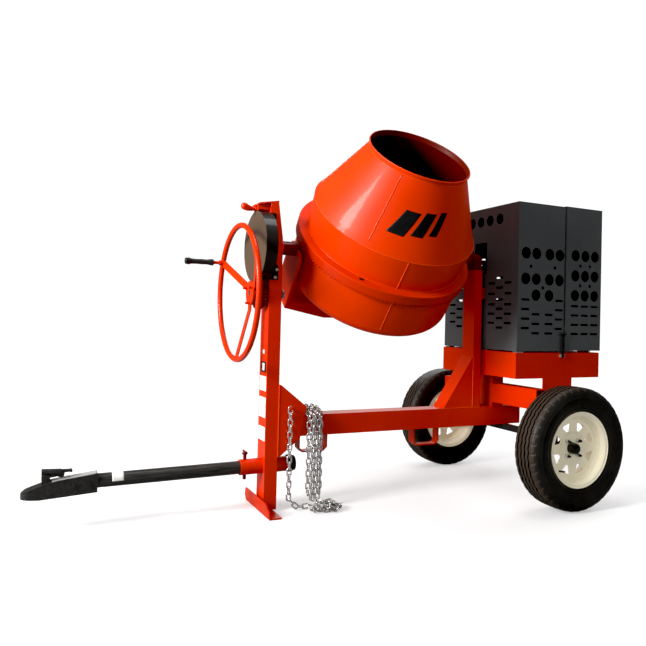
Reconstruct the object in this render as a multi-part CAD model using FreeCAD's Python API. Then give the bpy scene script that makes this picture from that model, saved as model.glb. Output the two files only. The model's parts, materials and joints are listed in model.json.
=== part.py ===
"""Towable concrete mixer with a tilting steel drum, an enclosed engine, two road wheels and a ball coupler.

Frame: X runs from the coupler (-X) to the engine (+X), Y across the machine, Z up. The origin is on the
ground under the middle of the front post. Lengths are in millimetres, angles in degrees.
"""
import FreeCAD
import Part

import math
import os

V = FreeCAD.Vector
X_AXIS = V(1, 0, 0)
Y_AXIS = V(0, 1, 0)
Z_AXIS = V(0, 0, 1)

# ---------------------------------------------------------------- driving dimensions
RUN_FIT = 0.05          # radial clearance of every turning fit
GAP = 0.5               # clearance between parts that only pass each other
SHEET = 4.0             # drum and guard sheet thickness

# front post, foot and main beam
POST_X = 63.0
POST_Y = 108.0
POST_WALL = 5.0
POST_TOP = 1465.0
POST_TAPER_Z = 1290.0      # above this the rear face of the post leans forward
POST_TOP_BACK = 7.0
ROOF_FALL = 0.175          # slope of the post cap, falling towards the coupler
ROOF_SHEET = 8.0
FOOT_HALF = 180.0
FOOT_FRONT = -44.0
FOOT_BACK = 14.0
FOOT_PLATE = 8.0
FOOT_LIP_TOP = 70.0
FOOT_LIP_LEAN = 14.0
FOOT_LIP_SHEET = 8.0
FOOT_CORNER_WIDTH = 34.0
FOOT_CORNER_HEIGHT = 42.0
BEAM_LOW = 347.0
BEAM_SIZE = 101.6
BEAM_WALL = 6.0
BEAM_END = 1503.0
GUSSET = 6.0
# side outline of the gusset plate behind the post: (x, z)
GUSSET_EDGE = ((43.0, 595.0), (173.0, 490.0), (144.0, 337.0), (43.0, 257.0))
GUSSET_TOP = 599.0
GUSSET_LOW = 253.0
GUSSET_HOLE = (100.0, 300.0)
GUSSET_HOLE_R = 10.0
HOOK_R = 4.0
HOOK_LENGTH = 34.0
CHAIN_HOOK_X = 84.0
CHAIN_HOOK_Z = 488.0
# strap loops under the beam: front leg, rear leg, underside
TIE_DOWNS = ((150.0, 304.0, 262.0), (807.0, 967.0, 254.0))
TIE_STRAP = 7.0
TIE_HALF = 25.0
TIE_CORNER = 20.0

# towing gear
TOW_DROOP = 0.7
TOW_HEIGHT = 209.0
SLEEVE_R = 36.5
SLEEVE_FRONT = -138.0
SLEEVE_BACK = 92.0
TUBE_R = 30.15
TUBE_WALL = 5.0
TUBE_FRONT = -820.0
TUBE_BACK = 128.0
COUPLER_TIP = -1062.0
COUPLER_BACK = -767.0
COUPLER_HALF = 34.0
COUPLER_WALL = 4.0
BALL_R = 25.4
BALL_X = -1022.0
BALL_Z = 158.0
LEVER_PIVOT_X = -968.0
LEVER_PIVOT_Z = 230.0
HITCH_PIN_X = -112.0
HITCH_PIN_R = 7.9
HITCH_PIN_REACH = 22.0     # how far the pin stands out of the sleeve at each end
COUPLER_DECK = 236.0       # height of the coupler's top where the tube enters
COUPLER_SHELF = 158.0      # height of its underside there
EAR_OFFSET = 13.5
EAR_SHEET = 7.0
EAR_R = 16.0
LEVER_SHEET = 17.0
LEVER_PIN_R = 5.0
COIL_R = 9.0

# tilt axis and drum
TILT_Z = 1255.0
REST_TILT = 40.2
DRUM_X = 587.0
MOUTH_S = 580.0
MOUTH_R = 250.0
COLLAR_S = 556.0
COLLAR_R = 246.0
CONE_FOOT_S = 266.0
CONE_FOOT_R = 404.0
SHOULDER_S = 242.0
SHOULDER_R = 419.0
BELLY_R = 411.0
FLANGE_R = 458.0
FLANGE_S = 81.0
BOWL_R = 440.0
BOWL_CORNER_S = -155.0
BOWL_FLOOR_S = -232.0
BOWL_CORNER_R = 58.0
HUB_BARREL_R = 60.0
HUB_FLANGE_R = 130.0
PADDLE_LENGTH = 155.0
PADDLE_SHEET = 8.0
PADDLE_LEAN = 24.0

# ring gear and drive pinion (bevel pair whose apex is where the drum axis crosses the tilt axis)
RING_TEETH = 142
PINION_TEETH = 10
DRIVE_MODULE = 6.35
RING_IN = 443.5
RING_OUT = 458.0
RING_ADDENDUM = 3.3
RING_DEDENDUM = 7.0
PINION_ADDENDUM = 5.0
PINION_DEDENDUM = 7.0
DRIVE_BACKLASH = 1.0
PRESSURE = 20.0
PINION_SHAFT_R = 15.0

# yoke
YOKE_PLATE = 14.0
YOKE_IN = 457.0
YOKE_HALF = 88.0
YOKE_TOP = 10.0
YOKE_BEAM_TOP = -268.0
YOKE_END_LOW = -304.0
YOKE_MID_LOW = -362.0
YOKE_MID_HALF = 236.0
YOKE_SHEET = 6.0
TRUNNION_R = 24.0
TRUNNION_SLEEVE_R = 34.0
SPINDLE_R = 25.0
SPINDLE_BOSS_R = 62.0

# dump gear and handwheel
DUMP_MODULE = 5.0
DUMP_TEETH = 62
WHEEL_TEETH = 28
GEAR_FRONT = -75.0
GEAR_BACK = -55.0
DUMP_BACKLASH = 1.0
# a tooth of the handwheel pinion points straight up, so the big gear shows it a gap straight down
REST_GEAR_TURN = 180.0 + 180.0 / DUMP_TEETH
WHEEL_Z = TILT_Z - DUMP_MODULE * (DUMP_TEETH + WHEEL_TEETH) / 2
HANDWHEEL_X = -168.0
HANDWHEEL_R = 315.0
HANDWHEEL_TUBE_R = 13.0
HUB_X = -106.0
HUB_R = 58.0
HAND_SHAFT_R = 14.0
GRIP_FRONT = -348.0
GRIP_BACK = -221.0
GRIP_R = 12.5
GRIP_FRONT_R = 17.5
GRIP_BACK_R = 16.5
ROD_R = 8.0
CRANK_ANGLE = 30.0
GUARD_R = 170.0
GUARD_FRONT = -90.0
GUARD_BACK = -33.0
GUARD_SHEET = 3.0
GUARD_Z = TILT_Z - 4.0
FRONT_BEARING_R = 36.0
HAND_BEARING_R = 26.0
BEARING_PROUD = 13.0       # how far the front bearings stand out of the post
SPOKE_HALF = 19.0
SPOKE_FOOT = 78.0
SPOKE_SHEET = 6.0
SPOKE_BOLT_R = 6.0
CAP_HALF = 32.0
CAP_CHEEK_Y = 30.0
CAP_CHEEK = 5.0
LOCK_SLOT_HALF = 13.0
LOCK_PIN_R = 6.0
LOCK_BAR_HALF = 9.0
# the tilt lock's handle: x, drop below the pivot, radius
LOCK_HANDLE = ((-95.0, 14.0, 8.0), (-112.0, 16.0, 11.0), (-132.0, 13.0, 15.0), (-147.0, 7.0, 17.0))
PINION_NOTCH_HALF = 84.0
SIDE_PLATE_LOW = 1095.0
LOCK_PIVOT_X = -45.0
LOCK_PIVOT_Z = 1447.0

# rear pedestal and platform
PED_FRONT = 1168.0
PED_BACK = 1218.0
PED_FOOT_FRONT = 978.0
PED_HALF = 50.0
PED_KNEE = 731.0
PED_TOP = 1206.0
PED_WALL = 6.0
REAR_BEARING_R = 45.0
HOUSING_LUG_Z = 1050.0
CROSS_X0 = 1300.0
CROSS_X1 = 1378.0
CROSS_Z0 = 474.0
CROSS_Z1 = 580.0
CROSS_HALF = 400.0
TRAY_X0 = 1230.0
TRAY_X1 = 1819.0
TRAY_HALF = 323.0
TRAY_Z0 = 629.0
TRAY_Z1 = 765.0
TRAY_SHEET = 4.0
STAND_WALL = 5.0
LEG_HALF = 54.0
SIDE_PLATE_X0 = 1404.0
SIDE_PLATE_X1 = 1619.0
SIDE_FLANGE = 50.0

# engine housing
HOUSE_X0 = 1235.0
HOUSE_SPLIT = 1573.0
HOUSE_X1 = 1825.0
HOUSE_HALF = 321.0
HOUSE_Z0 = 772.0
HOUSE_Z1 = 1554.0
HOUSE_SHEET = 2.5
COVER_PROUD = 3.5
COVER_LAP = 10.0
HINGE_X = 1832.0
HINGE_Z = 771.0
LATCH_X = 1540.0
LATCH_Z = 748.0
LATCH_TOP = 862.0
LATCH_HALF = 10.0
LATCH_OUT = 9.0            # distance of the strap's middle from the tray
KEEPER_Z = 848.0
HINGE_HALF_SPAN = 200.0
HINGE_PIN_R = 4.0
HINGE_EYE_R = 6.5
HINGE_EAR = 21.0

# air vents in the housing and its cover
VENT_R = 30.0
DOT_R = 9.0
SLOT_HALF = 27.0
SLOT_HEIGHT = 11.0
SIDE_COLUMNS = (1288.0, 1359.0, 1450.0, 1521.0)
SIDE_VENT_ROWS = (1288.0, 1153.0)
SIDE_LOW_VENT_Z = 1068.0
SIDE_DOTS = ((1488.0, 1219.0), (1322.0, 1219.0), (1405.0, 1108.0))
OUTER_SLOT_ROWS = (893.0, 943.0, 993.0, 1043.0)
INNER_SLOT_ROWS = (867.0, 917.0, 967.0)
COVER_COLUMNS = (1632.0, 1704.0, 1776.0)
COVER_VENT_ROWS = (1294.0, 1184.0, 1076.0)
COVER_SLOT_ROWS = (867.0, 917.0, 968.0, 1018.0)
FRONT_VENT_R = 28.0
FRONT_VENT_Z = 1481.0
FRONT_VENT_COLUMNS = (-168.0, -86.0, -7.0, 71.0, 149.0, 227.0)
FRONT_SLOTS = ((244.0, (917.0, 967.0, 1017.0, 1075.0, 1133.0)),
               (177.0, (892.0, 943.0, 994.0, 1043.0, 1108.0, 1160.0)),
               (110.0, (917.0, 967.0, 1017.0, 1075.0, 1133.0)))
SHAFT_WINDOW_RIGHT = 62.0
SHAFT_WINDOW_LEFT = 40.0

# belt drive inside the housing
BELT_X = 1330.0
BIG_PULLEY_R = 200.0
SMALL_PULLEY_R = 32.0
PULLEY_WIDTH = 26.0
BELT_WIDTH = 13.0
BELT_DEPTH = 8.0
ENGINE_Z = 915.0
ENGINE_SHAFT_R = 12.0
ENGINE_X = BELT_X + 60.0

# wheels
AXLE_X = 1403.0
WHEEL_Z_ROAD = 305.0
TRACK_HALF = 534.0
TYRE_R = 305.0
TYRE_HALF = 82.0
RIM_FLANGE_R = 187.0
BEAD_R = 165.0
RIM_HALF = 67.0
WELL_R = 148.0
DISC_W = 16.0
HUB_W = 9.0
STUD_CIRCLE_R = 50.8
GROOVE = 7.0
SPINDLE_ROAD_R = 16.0
STUD_R = 6.0
STUDS = 4
AXLE_SIZE = 32.0
AXLE_WALL = 5.0
AXLE_HALF = 408.0
DROP_PLATE = 10.0

# chain
LINK_WIRE_R = 3.5
LINK_INSIDE = 30.0
LINK_HALF_WIDTH = 10.0
LINK_SLACK = 0.8
BUNDLE_X = (186.0, 216.0, 246.0)
# spare chain on the ground: start x, start y, layer, number of links
CHAIN_ROWS = ((196.0, -98.0, 0, 4), (180.0, -124.0, 0, 5), (205.0, -150.0, 0, 3), (212.0, -112.0, 1, 3))

BOLT_R = 8.0
BOLT_HEAD = 6.0
GUARD_BOLTS = ((-20.0, 1144.0), (1.0, 1143.0), (-6.0, 1106.0), (-16.0, 1357.0))

PARTS = {}


# ---------------------------------------------------------------- small shape helpers
def box(x0, x1, y0, y1, z0, z1):
    return Part.makeBox(x1 - x0, y1 - y0, z1 - z0, V(x0, y0, z0))


def cyl(start, direction, radius, length):
    return Part.makeCylinder(radius, length, start, direction)


def pipe(start, direction, outer, inner, length):
    return cyl(start, direction, outer, length).cut(cyl(start, direction, inner, length))


def face_of(points):
    wire = Part.makePolygon(list(points) + [points[0]])
    return Part.Face(wire)


def prism_y(points, y0, y1):
    return face_of([V(x, y0, z) for x, z in points]).extrude(V(0, y1 - y0, 0))


def prism_x(points, x0, x1):
    return face_of([V(x0, y, z) for y, z in points]).extrude(V(x1 - x0, 0, 0))


def prism_z(points, z0, z1):
    return face_of([V(x, y, z0) for x, y in points]).extrude(V(0, 0, z1 - z0))


def turned(profile, base=V(0, 0, 0), axis=Z_AXIS):
    """Turn a closed (radius, height) profile about an axis through base."""
    side = V(1, 0, 0) if abs(axis.x) < 0.5 else V(0, 1, 0)
    points = [base + side * r + axis * h for r, h in profile]
    return face_of(points).revolve(base, axis, 360)


def thick_line(points, thickness):
    """Closed outline of a polyline thickened to its right-hand side, with mitred corners."""
    def normal(a, b):
        dx, dy = b[0] - a[0], b[1] - a[1]
        size = math.hypot(dx, dy)
        return dy / size, -dx / size

    normals = [normal(a, b) for a, b in zip(points, points[1:])]
    inner = []
    for i, point in enumerate(points):
        before = normals[max(i - 1, 0)]
        after = normals[min(i, len(normals) - 1)]
        nx, ny = before[0] + after[0], before[1] + after[1]
        scale = 2 * thickness / (nx * nx + ny * ny)
        inner.append((point[0] + nx * scale, point[1] + ny * scale))
    return list(points) + inner[::-1]


def fused(shapes):
    first, rest = shapes[0], shapes[1:]
    return first.multiFuse(rest).removeSplitter() if rest else first


def mirrored_y(shape):
    return shape.mirror(V(0, 0, 0), Y_AXIS)


def turned_copy(shape, centre, axis, angle):
    copy = shape.copy()
    copy.rotate(centre, axis, angle)
    return copy


def on_drum(shape):
    """Move a shape from the drum's own frame (Z up the drum axis) to its place on the machine."""
    placed = shape.copy()
    placed.rotate(V(0, 0, 0), X_AXIS, REST_TILT)
    placed.translate(V(DRUM_X, 0, TILT_Z))
    return placed


def add(name, *shapes):
    PARTS[name] = list(shapes)


# ---------------------------------------------------------------- gears
def involute(angle):
    return math.tan(angle) - angle


def gear_section(teeth, module, addendum, dedendum, backlash, first=0.0):
    """Closed (u, v) outline of a spur gear whose first tooth points along +v turned by the angle first."""
    pitch = module * teeth / 2
    base = pitch * math.cos(math.radians(PRESSURE))
    tip = pitch + addendum
    root = pitch - dedendum
    half = (math.pi * module / 2 - backlash / 2) / (2 * pitch) + involute(math.radians(PRESSURE))
    low = max(base, root)
    radii = [low + (tip - low) * step / 4 for step in range(5)]
    flank = [(r, half - involute(math.acos(min(1.0, base / r)))) for r in radii]
    if root < base:
        flank.insert(0, (root, half))
    points = []
    for k in range(teeth):
        middle = math.radians(90 + first) - 2 * math.pi * k / teeth
        for r, a in flank:
            points.append((r * math.cos(middle + a), r * math.sin(middle + a)))
        for r, a in reversed(flank):
            points.append((r * math.cos(middle - a), r * math.sin(middle - a)))
    return points


def ring_tooth(pitch_s, radius):
    """One ring-gear tooth as a loft between its inner and outer ends, both scaled from the mid-face."""
    slope = math.tan(math.radians(PRESSURE))
    half = (math.pi * DRIVE_MODULE / 2 - DRIVE_BACKLASH / 2) / 2
    tip_half = half - RING_ADDENDUM * slope
    root_half = half + RING_DEDENDUM * slope
    wires = []
    for end in (RING_IN, RING_OUT):
        k = end / radius
        tip_s = pitch_s - RING_ADDENDUM
        root_s = pitch_s + RING_DEDENDUM + GAP
        corners = [V(end, -root_half * k, root_s), V(end, -tip_half * k, tip_s),
                   V(end, tip_half * k, tip_s), V(end, root_half * k, root_s)]
        wires.append(Part.makePolygon(corners + [corners[0]]))
    return Part.makeLoft(wires, True, True)


def ring_gear():
    pitch_s = DRIVE_MODULE * PINION_TEETH / 2
    middle_r = DRIVE_MODULE * RING_TEETH / 2
    root_s = pitch_s + RING_DEDENDUM
    tooth = ring_tooth(pitch_s, middle_r)
    teeth = [turned_copy(tooth, V(0, 0, 0), Z_AXIS, (k + 0.5) * 360 / RING_TEETH) for k in range(RING_TEETH)]
    body = pipe(V(0, 0, root_s), Z_AXIS, RING_OUT, RING_IN, FLANGE_S - SHEET - root_s)
    inner = pipe(V(0, 0, root_s + SHEET), Z_AXIS, RING_IN, BOWL_R + RUN_FIT, FLANGE_S - 2 * SHEET - root_s)
    add("ring_gear", on_drum(fused([body, inner] + teeth)))


def drive_pinion():
    middle_r = DRIVE_MODULE * RING_TEETH / 2
    outline = gear_section(PINION_TEETH, DRIVE_MODULE, PINION_ADDENDUM, PINION_DEDENDUM, DRIVE_BACKLASH)
    wires = []
    for end in (RING_IN - 2, YOKE_IN - 1):
        k = end / middle_r
        corners = [V(end, u * k, v * k) for u, v in outline]
        wires.append(Part.makePolygon(corners + [corners[0]]))
    pinion = Part.makeLoft(wires, True, True)
    bore = cyl(V(RING_IN - 10, 0, 0), X_AXIS, PINION_SHAFT_R, 60)
    add("drive_pinion", on_drum(pinion.cut(bore)))


def spur_gear_x(teeth, x0, x1, bore, first):
    outline = gear_section(teeth, DUMP_MODULE, DUMP_MODULE, 1.25 * DUMP_MODULE, DUMP_BACKLASH, first)
    return prism_x(outline, x0, x1).cut(cyl(V(x0 - 1, 0, 0), X_AXIS, bore, x1 - x0 + 2))


# ---------------------------------------------------------------- frame
def roof_z(x):
    """Height of the underside of the post cap at x."""
    return POST_TOP + (x - POST_TOP_BACK) * ROOF_FALL


def post_outline(inset, low):
    """Side outline of the post, moved inwards by inset."""
    hx = POST_X / 2 - inset
    back = POST_TOP_BACK - inset
    return [(-hx, low), (hx, low), (hx, POST_TAPER_Z), (back, roof_z(back)), (-hx, roof_z(-hx))]


def front_post():
    hy = POST_Y / 2
    tube = prism_y(post_outline(0, FOOT_PLATE), -hy, hy)
    hollow = prism_y(post_outline(POST_WALL, FOOT_PLATE - 1), -hy + POST_WALL, hy - POST_WALL)
    tube = tube.cut(hollow)
    for z, r in ((TILT_Z, FRONT_BEARING_R), (WHEEL_Z, HAND_BEARING_R)):
        tube = tube.cut(cyl(V(-POST_X, 0, z), X_AXIS, r, 2 * POST_X))
    add("front_post", tube.cut(sleeve_cylinder(SLEEVE_R)))


def tow_direction():
    droop = math.radians(TOW_DROOP)
    return V(math.cos(droop), 0, math.sin(droop))


def tow_point(x):
    return V(x, 0, TOW_HEIGHT + x * math.tan(math.radians(TOW_DROOP)))


def sleeve_cylinder(radius):
    return cyl(tow_point(SLEEVE_FRONT), tow_direction(), radius, SLEEVE_BACK - SLEEVE_FRONT)


def foot_plate():
    lip_x = FOOT_FRONT - FOOT_LIP_LEAN
    outline = [(FOOT_FRONT, 0), (FOOT_BACK, 0), (FOOT_BACK, FOOT_PLATE), (FOOT_FRONT + 7, FOOT_PLATE),
               (lip_x + FOOT_LIP_SHEET, FOOT_LIP_TOP), (lip_x, FOOT_LIP_TOP)]
    plate = prism_y(outline, -FOOT_HALF, FOOT_HALF)
    over_y, over_z = FOOT_HALF + 1, FOOT_LIP_TOP + 1
    corner = prism_x([(FOOT_HALF - FOOT_CORNER_WIDTH, over_z), (over_y, over_z),
                      (over_y, FOOT_LIP_TOP - FOOT_CORNER_HEIGHT)], lip_x - 1, FOOT_BACK)
    add("foot_plate", plate.cut(corner).cut(mirrored_y(corner)))


def main_beam():
    half = BEAM_SIZE / 2
    start = POST_X / 2
    top = BEAM_LOW + BEAM_SIZE
    w = BEAM_WALL
    tube = box(start, BEAM_END, -half, half, BEAM_LOW, top)
    tube = tube.cut(box(start - 1, BEAM_END + 1, -half + w, half - w, BEAM_LOW + w, top - w))
    add("main_beam", tube)


def post_gussets():
    half = BEAM_SIZE / 2
    face = -half - GUSSET
    outline = [(POST_X / 2, GUSSET_TOP), *GUSSET_EDGE, (POST_X / 2, GUSSET_LOW)]
    plate = prism_y(outline, face, -half)
    hole_x, hole_z = GUSSET_HOLE
    plate = plate.cut(cyl(V(hole_x, face - 1, hole_z), Y_AXIS, GUSSET_HOLE_R, GUSSET + 2))
    hook = cyl(V(CHAIN_HOOK_X, face - HOOK_LENGTH, CHAIN_HOOK_Z), Y_AXIS, HOOK_R, HOOK_LENGTH)
    end_y = face - HOOK_LENGTH - HOOK_R
    hook_end = cyl(V(CHAIN_HOOK_X, end_y, CHAIN_HOOK_Z), Y_AXIS, 2 * HOOK_R, HOOK_R)
    add("post_gussets", fused([plate, hook, hook_end]), mirrored_y(plate))


def tie_down_loops():
    """Flat-strap loops welded under the beam."""
    loops = []
    for x0, x1, low in TIE_DOWNS:
        path = [(x1, BEAM_LOW), (x1, low + TIE_CORNER), (x1 - TIE_CORNER, low), (x0 + TIE_CORNER, low),
                (x0, low + TIE_CORNER), (x0, BEAM_LOW)]
        loops.append(prism_y(thick_line(path, TIE_STRAP), -TIE_HALF, TIE_HALF))
    add("tie_down_loops", *loops)


def post_cap():
    """Sloping cap on the post that reaches forward over the gear guard and carries the tilt lock."""
    front, back = GUARD_FRONT, POST_TOP_BACK + 1
    roof = [(front, roof_z(front)), (back, roof_z(back)), (back, roof_z(back) + ROOF_SHEET),
            (front, roof_z(front) + ROOF_SHEET)]
    top = prism_y(roof, -POST_Y / 2, POST_Y / 2)
    low = GUARD_Z + GUARD_R + 2 * GAP
    inner, post_face = front + CAP_CHEEK, -POST_X / 2
    face = prism_y([(front, low), (inner, low), (inner, roof_z(front)), (front, roof_z(front))],
                   -CAP_HALF, CAP_HALF)
    cheek_low = low + CAP_CHEEK
    side = [(front, cheek_low), (post_face, cheek_low), (post_face, roof_z(post_face)),
            (front, roof_z(front))]
    half = CAP_CHEEK / 2
    cheeks = [prism_y(side, s * CAP_CHEEK_Y - half, s * CAP_CHEEK_Y + half) for s in (-1, 1)]
    above = POST_TOP + 2 * ROOF_SHEET
    slot = box(front - 1, LOCK_PIVOT_X - 8, -LOCK_SLOT_HALF, LOCK_SLOT_HALF, low - 1, above)
    pin_hole = cyl(V(LOCK_PIVOT_X, -POST_Y, LOCK_PIVOT_Z), Y_AXIS, LOCK_PIN_R, 2 * POST_Y)
    pin_half = CAP_CHEEK_Y + 6
    pin = cyl(V(LOCK_PIVOT_X, -pin_half, LOCK_PIVOT_Z), Y_AXIS, LOCK_PIN_R, 2 * pin_half)
    bracket = fused([top.cut(slot), face.cut(slot)] + [c.cut(pin_hole) for c in cheeks])
    add("post_cap", bracket, pin)


def rear_pedestal():
    """Upright box with a sloping brace down to the beam and a lug to the housing."""
    low = BEAM_LOW + BEAM_SIZE
    w = PED_WALL
    upright = box(PED_FRONT, PED_BACK, -PED_HALF, PED_HALF, low, PED_TOP)
    inside = PED_HALF - w
    upright = upright.cut(box(PED_FRONT + w, PED_BACK - w, -inside, inside, low - 1, PED_TOP - w))
    brace = prism_y([(PED_FOOT_FRONT, low), (PED_FRONT, low), (PED_FRONT, PED_KNEE)], -PED_HALF, PED_HALF)
    hollow = prism_y([(PED_FOOT_FRONT + 2 * w, low - 1), (PED_FRONT, low - 1),
                      (PED_FRONT, PED_KNEE - 3 * w)], -inside, inside)
    end = HOUSE_X0 - GAP
    lug = box(PED_BACK, end, -PED_HALF, -10, HOUSING_LUG_Z, HOUSING_LUG_Z + w)
    lug_up = box(end - w, end, -PED_HALF, -10, HOUSING_LUG_Z, HOUSING_LUG_Z + 58)
    add("rear_pedestal", fused([upright, brace.cut(hollow), lug, lug_up]))


def rear_bearing():
    """Pillow block on top of the pedestal with a grease nipple."""
    x0 = PED_FRONT + 2
    width = PED_BACK - 2 - x0
    barrel = cyl(V(x0, 0, TILT_Z), X_AXIS, REAR_BEARING_R, width)
    base = box(x0, x0 + width, -REAR_BEARING_R, REAR_BEARING_R, PED_TOP, TILT_Z)
    nipple = cyl(V(x0 + width / 2, 0, TILT_Z + REAR_BEARING_R - 3), Z_AXIS, 4, 14)
    block = fused([barrel, base, nipple])
    add("rear_bearing", block.cut(cyl(V(x0 - 1, 0, TILT_Z), X_AXIS, TRUNNION_R + RUN_FIT, width + 2)))


def platform_stand():
    """Cross beam on a short riser, a box leg under the tray and a folded side plate on each side."""
    w = STAND_WALL
    half = BEAM_SIZE / 2
    x0, x1 = CROSS_X0 + w, CROSS_X1 - w
    cross = box(CROSS_X0, CROSS_X1, -CROSS_HALF, CROSS_HALF, CROSS_Z0, CROSS_Z1)
    cross = cross.cut(box(x0, x1, -CROSS_HALF - 1, CROSS_HALF + 1, CROSS_Z0 + w, CROSS_Z1 - w))
    beam_top = BEAM_LOW + BEAM_SIZE
    riser = box(CROSS_X0, CROSS_X1, -half, half, beam_top, CROSS_Z0)
    riser = riser.cut(box(x0, x1, -half + w, half - w, beam_top - 1, CROSS_Z0 + 1))
    leg = box(CROSS_X0 + 2, CROSS_X1 - 2, -LEG_HALF, LEG_HALF, CROSS_Z1, TRAY_Z0)
    leg = leg.cut(box(x0 + 2, x1 - 2, -LEG_HALF + w, LEG_HALF - w, CROSS_Z1 - 1, TRAY_Z0 + 1))
    notch_z = (CROSS_Z0 + TRAY_Z0) / 2
    outline = [(SIDE_PLATE_X0, CROSS_Z0), (SIDE_PLATE_X1, CROSS_Z0), (SIDE_PLATE_X1, TRAY_Z0),
               (SIDE_PLATE_X0 + 12, TRAY_Z0), (SIDE_PLATE_X0 + 12, notch_z), (SIDE_PLATE_X0, notch_z - 12)]
    sides = []
    for s in (-1, 1):
        outer, inner, deep = s * TRAY_HALF, s * (TRAY_HALF - w), s * (TRAY_HALF - SIDE_FLANGE)
        plate = prism_y(outline, *sorted((outer, inner)))
        fold = box(SIDE_PLATE_X1 - w, SIDE_PLATE_X1, *sorted((outer, deep)), CROSS_Z0, TRAY_Z0)
        tie = box(CROSS_X1, SIDE_PLATE_X0 + 2 * w, *sorted((outer, deep)), CROSS_Z0, CROSS_Z0 + 40)
        sides.append(fused([plate, fold, tie]))
    add("platform_stand", fused([cross, riser, leg] + sides))


def engine_tray():
    outer = box(TRAY_X0, TRAY_X1, -TRAY_HALF, TRAY_HALF, TRAY_Z0, TRAY_Z1)
    t = TRAY_SHEET
    inner = box(TRAY_X0 + t, TRAY_X1 - t, -TRAY_HALF + t, TRAY_HALF - t, TRAY_Z0 - 1, TRAY_Z1 - t)
    add("engine_tray", outer.cut(inner))


def axle():
    half = AXLE_SIZE / 2
    top = BEAM_LOW
    w = AXLE_WALL
    end = AXLE_HALF + 1
    drop_y = AXLE_HALF + DROP_PLATE
    bar = box(AXLE_X - half, AXLE_X + half, -AXLE_HALF, AXLE_HALF, top - AXLE_SIZE, top)
    bar = bar.cut(box(AXLE_X - half + w, AXLE_X + half - w, -end, end, top - AXLE_SIZE + w, top - w))
    pieces = [bar]
    for side in (-1, 1):
        y0, y1 = sorted((side * AXLE_HALF, side * drop_y))
        drop = box(AXLE_X - AXLE_SIZE, AXLE_X + AXLE_SIZE, y0, y1, WHEEL_Z_ROAD - 34, top + 8)
        length = TRACK_HALF + HUB_W + 22 - drop_y
        spindle = cyl(V(AXLE_X, side * drop_y, WHEEL_Z_ROAD), V(0, side, 0), SPINDLE_ROAD_R, length)
        pieces += [drop, spindle]
    add("axle", fused(pieces))


# ---------------------------------------------------------------- towing gear
def towing_gear():
    d = tow_direction()
    pin_hole = cyl(V(HITCH_PIN_X, 0, TOW_HEIGHT - 60), Z_AXIS, HITCH_PIN_R + RUN_FIT, 120)
    sleeve = sleeve_cylinder(SLEEVE_R).cut(sleeve_cylinder(TUBE_R + RUN_FIT)).cut(pin_hole)
    add("tow_sleeve", sleeve)
    length = TUBE_BACK - TUBE_FRONT
    tube = pipe(tow_point(TUBE_FRONT), d, TUBE_R, TUBE_R - TUBE_WALL, length)
    add("tow_tube", tube.cut(pin_hole))
    cap = pipe(tow_point(TUBE_BACK - 26), d, TUBE_R + 12, TUBE_R, 20)
    plug = cyl(tow_point(TUBE_BACK), d, TUBE_R + 6, 8)
    add("tube_end_cap", fused([cap, pipe(tow_point(TUBE_BACK - 8), d, TUBE_R + 7, TUBE_R, 8), plug]))
    out = SLEEVE_R + HITCH_PIN_REACH
    pin_low = TOW_HEIGHT - out
    pin = cyl(V(HITCH_PIN_X, 0, pin_low), Z_AXIS, HITCH_PIN_R, 2 * out)
    head = cyl(V(HITCH_PIN_X, 0, TOW_HEIGHT + out), Z_AXIS, 13, 8)
    handle = cyl(V(HITCH_PIN_X, -26, TOW_HEIGHT + out + 12), Y_AXIS, 5, 52)
    clip_hole = cyl(V(HITCH_PIN_X, -HITCH_PIN_R - 1, pin_low + 8), Y_AXIS, 2, 2 * HITCH_PIN_R + 2)
    add("hitch_pin", fused([pin, head, handle]).cut(clip_hole))


def coupler_outline(inset):
    """Side outline of the coupler body, moved inwards by inset and cut open below."""
    tip = COUPLER_TIP + inset
    top = COUPLER_DECK - inset
    low = COUPLER_SHELF - 2 * inset
    return [(COUPLER_BACK, top), (COUPLER_BACK - 128, top - 14), (COUPLER_BACK - 190, top - 24),
            (tip + 16, top - 54), (tip, top - 64), (tip, low - 8), (COUPLER_TIP + 70, low - 14),
            (COUPLER_BACK, low)]


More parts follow.
